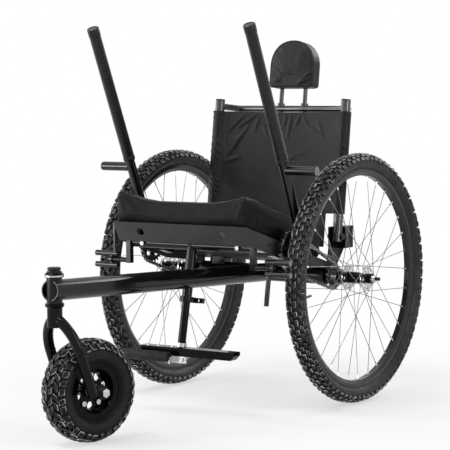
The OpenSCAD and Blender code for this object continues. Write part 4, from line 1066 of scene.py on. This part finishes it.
# Rings from the pad's front to its back, in shares of its thickness and its outline
PAD_DEPTHS = (-0.47, -0.47, -0.47, -0.465, -0.455, -0.44, -0.40, 0, 0.40, 0.46, 0.48, 0.49, 0.5, 0.5)
PAD_SCALES = (0.03, 0.35, 0.65, 0.88, 0.955, 0.988, 1, 1, 1, 0.988, 0.955, 0.85, 0.5, 0.03)
PAD_MIDDLE = PAD_H * 0.48
SQUARE_POWER = 16
ROUND_POWER = 2.2


def pad_outline(t):
    """A point of the pad's outline, square below and round above."""
    low = math.sin(t) < 0
    n = SQUARE_POWER if low else ROUND_POWER
    h = PAD_H * (PAD_SPLIT if low else 1 - PAD_SPLIT)
    return PAD_W / 2 * soft_power(math.cos(t), n), PAD_H * PAD_SPLIT + h * soft_power(math.sin(t), n)


# Creases in the pad's face: start and stop in half widths and heights of the pad, then width and height
PAD_CREASES = (
    ((-0.80, 0.72), (0.06, 0.25), 0.0042, 0.0034), ((-0.80, 0.60), (-0.20, 0.33), 0.0040, 0.0030),
    ((-0.84, 0.44), (-0.30, 0.22), 0.0040, 0.0024), ((-0.58, 0.87), (-0.30, 0.73), 0.0036, 0.0026),
    ((0.92, 0.33), (0.32, 0.06), 0.0040, 0.0032), ((0.88, 0.20), (0.50, 0.09), 0.0036, 0.0026),
    ((0.52, 0.86), (0.32, 0.42), 0.0120, 0.0016), ((-0.80, 0.16), (-0.42, 0.14), 0.0040, 0.0018),
    ((-0.36, 0.26), (-0.36, 0.06), 0.0026, -0.0012), ((-0.36, 0.25), (0.26, 0.25), 0.0026, -0.0012),
)


def pad_ring(points, depth, scale):
    """One ring of the pad, scaled towards the middle of its face."""
    ring = []
    for j in range(points):
        x, z = pad_outline(2 * math.pi * j / points)
        ring.append((x * scale, depth, PAD_MIDDLE + (z - PAD_MIDDLE) * scale))
    return ring


def make_headrest():
    verts = []
    for d, s in zip(PAD_DEPTHS, PAD_SCALES):
        verts += pad_ring(PAD_POINTS, d * PAD_T - PAD_CROWN * math.copysign(1 - s * s, -d), s)
    obj = new_object("headrest_cover", verts, capped_rings(len(PAD_DEPTHS), PAD_POINTS), FINISH["nylon"])
    remesh(obj, PAD_VOXEL)
    co = coordinates(obj)
    front = co[:, 1] < PAD_FACE
    lift = creases_at(np.stack([co[:, 0], co[:, 2]], 1), PAD_CREASES, PAD_W / 2, PAD_H)
    co[front, 1] -= PAD_CREASE_SHARE * lift[front]
    set_coordinates(obj, co)
    finish_soft(obj)
    m = back_frame() @ Matrix.Translation((0, BAR_BOW, PAD_LOW))
    obj.data.transform(m)
    obj.data.materials.clear()
    obj.data.materials.append(FINISH["nylon"])
    add_piece(obj, "headrest", "nylon", "headrest_pad")
    ring = [m @ Vector(p) for p in pad_ring(PIPING_POINTS, PIPING_AT * PAD_T, PIPING_IN)]
    add_piece(closed_tube("headrest_piping", ring, PIPING_R, FINISH["nylon"]), "headrest", "nylon")


# Small fasteners

STUD_PLACES = (-0.100, -0.068, -0.024)
STUD_STEPS = 24
STUD_PROFILE = [(-0.0005, 0.0042), (0.0006, 0.0042), (0.0018, 0.0034), (0.0026, 0.0018), (0.0028, 0.0002)]


def make_studs():
    """Domed studs on the foot beam's top."""
    low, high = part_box("foot_beam")
    for k, x in enumerate(STUD_PLACES):
        place = Vector((x, (low[1] + high[1]) / 2, high[2]))
        stud = spun_rod(f"foot_stud_{k + 1}", STUD_PROFILE, axis_frame(place, Vector((0, 0, 1)), SIDE),
                        FINISH["steel"], STUD_STEPS)
        add_piece(stud, "footrest", "steel")


# Camera, light and floor

VIEW_AZIMUTH = math.radians(34.101)
VIEW_ELEVATION = math.radians(4.642)
VIEW_ROLL = math.radians(-0.524)
VIEW_DISTANCE = 4.9073
VIEW_TARGET = Vector((0, AXLE.y - 0.1868, 0.46958))
PHOTO_FOCAL_PX = 1870.2
PHOTO_PX = 450


def make_camera():
    a, e = VIEW_AZIMUTH, VIEW_ELEVATION
    back = Vector((math.sin(a) * math.cos(e), -math.cos(a) * math.cos(e), math.sin(e)))
    right = Vector((math.cos(a), math.sin(a), 0))
    up = back.cross(right)
    r = right * math.cos(VIEW_ROLL) + up * math.sin(VIEW_ROLL)
    u = up * math.cos(VIEW_ROLL) - right * math.sin(VIEW_ROLL)
    data = bpy.data.cameras.new("camera")
    data.sensor_width = 36
    data.lens = data.sensor_width * PHOTO_FOCAL_PX / PHOTO_PX
    data.clip_end = 100
    camera = bpy.data.objects.new("camera", data)
    m = Matrix((r, u, back)).transposed().to_4x4()
    m.translation = VIEW_TARGET + back * VIEW_DISTANCE
    camera.matrix_world = m
    bpy.context.scene.collection.objects.link(camera)
    bpy.context.scene.camera = camera


def area_light(name, place, target, size, power):
    data = bpy.data.lights.new(name, "AREA")
    data.shape = "RECTANGLE"
    data.size, data.size_y = size
    data.energy = power
    obj = bpy.data.objects.new(name, data)
    obj.location = place
    obj.rotation_euler = (Vector(target) - Vector(place)).to_track_quat("-Z", "Y").to_euler()
    bpy.context.scene.collection.objects.link(obj)


# How the floor fades to white, and the studio's light: each lamp's name, place, target, size and power
SHADOW_NEAR = 0.35
SHADOW_FAR = 1.5
SHADOW_WHITE = 0.55
FLOOR_HALF = 30
FLOOR_DROP = 0.0005
FLOOR_GREY = 0.92
SKY_COLOUR = (0.95, 0.97, 1.0, 1)
SKY_STRENGTH = 0.30
LAMPS = (
    ("overhead_softbox", (-0.6, -1.5, 3.1), (0, 0, 0.4), (2.2, 0.9), 48),
    ("front_softbox", (-2.35, -2.9, 0.68), (0, -0.1, 0.5), (1.3, 1.3), 56),
    ("left_softbox", (-3.3, -0.7, 1.2), (0, -0.1, 0.5), (0.5, 2.2), 44),
    ("right_softbox", (2.9, -0.3, 1.5), (0, 0.1, 0.5), (0.5, 2.2), 34),
    ("rear_softbox", (0.6, 3.2, 2.2), (0, 0.1, 0.5), (1.6, 1.2), 36),
)


def white_to_camera(tree, plain, shader_type, socket, share=None):
    """Mixes a plain shader with a white one that camera, glossy and transmission rays see."""
    nodes, links = tree.nodes, tree.links
    rays = nodes.new("ShaderNodeLightPath")
    seen = rays.outputs["Is Camera Ray"]
    steps = [(rays.outputs["Is Glossy Ray"], "MAXIMUM"), (rays.outputs["Is Transmission Ray"], "MAXIMUM")]
    if share:
        steps.append((share, "MULTIPLY"))
    for value, operation in steps:
        node = nodes.new("ShaderNodeMath")
        node.operation = operation
        links.new(seen, node.inputs[0])
        links.new(value, node.inputs[1])
        seen = node.outputs["Value"]
    white = nodes.new(shader_type)
    white.inputs["Color"].default_value = (1, 1, 1, 1)
    white.inputs["Strength"].default_value = 1.0
    mix = nodes.new("ShaderNodeMixShader")
    links.new(seen, mix.inputs["Fac"])
    links.new(plain, mix.inputs[1])
    links.new(white.outputs[0], mix.inputs[2])
    links.new(mix.outputs["Shader"], socket)


def white_share(tree):
    """How white the floor is: partly under the object, where it keeps a shadow, and fully far out."""
    place = tree.nodes.new("ShaderNodeTexCoord")
    away = tree.nodes.new("ShaderNodeVectorMath")
    away.operation = "LENGTH"
    tree.links.new(place.outputs["Object"], away.inputs[0])
    node = tree.nodes.new("ShaderNodeMapRange")
    node.interpolation_type = "SMOOTHSTEP"
    node.inputs["From Min"].default_value = SHADOW_NEAR
    node.inputs["From Max"].default_value = SHADOW_FAR
    node.inputs["To Min"].default_value = SHADOW_WHITE
    node.inputs["To Max"].default_value = 1.0
    tree.links.new(away.outputs["Value"], node.inputs["Value"])
    return node.outputs["Result"]


def make_stage():
    world = bpy.data.worlds.new("studio")
    bpy.context.scene.world = world
    world.use_nodes = True
    tree = world.node_tree
    sky = tree.nodes["Background"]
    sky.inputs["Color"].default_value = SKY_COLOUR
    sky.inputs["Strength"].default_value = SKY_STRENGTH
    seen = tree.nodes["World Output"].inputs["Surface"]
    white_to_camera(tree, sky.outputs[0], "ShaderNodeBackground", seen)

    floor_mat = bpy.data.materials.new("pale_floor")
    floor_mat.use_nodes = True
    tree = floor_mat.node_tree
    plain = tree.nodes["Principled BSDF"]
    plain.inputs["Base Color"].default_value = (*grey(FLOOR_GREY), 1)
    plain.inputs["Roughness"].default_value = 0.9
    plain.inputs["Specular IOR Level"].default_value = 0.0
    seen = tree.nodes["Material Output"].inputs["Surface"]
    white_to_camera(tree, plain.outputs[0], "ShaderNodeEmission", seen, white_share(tree))
    level = cad_low.z - FLOOR_DROP
    corners = [(x * FLOOR_HALF, y * FLOOR_HALF, level) for x, y in CORNERS]
    new_object("floor", corners, [(0, 1, 2, 3)], floor_mat)
    for lamp in LAMPS:
        area_light(*lamp)


def main():
    make_camera()
    make_stage()
    dress_cad_nodes()
    make_tyres()
    make_grips()
    make_toe_roll()
    make_cushion()
    make_sling()
    make_headrest()
    make_studs()
    bpy.context.scene.view_settings.view_transform = "Standard"


main()
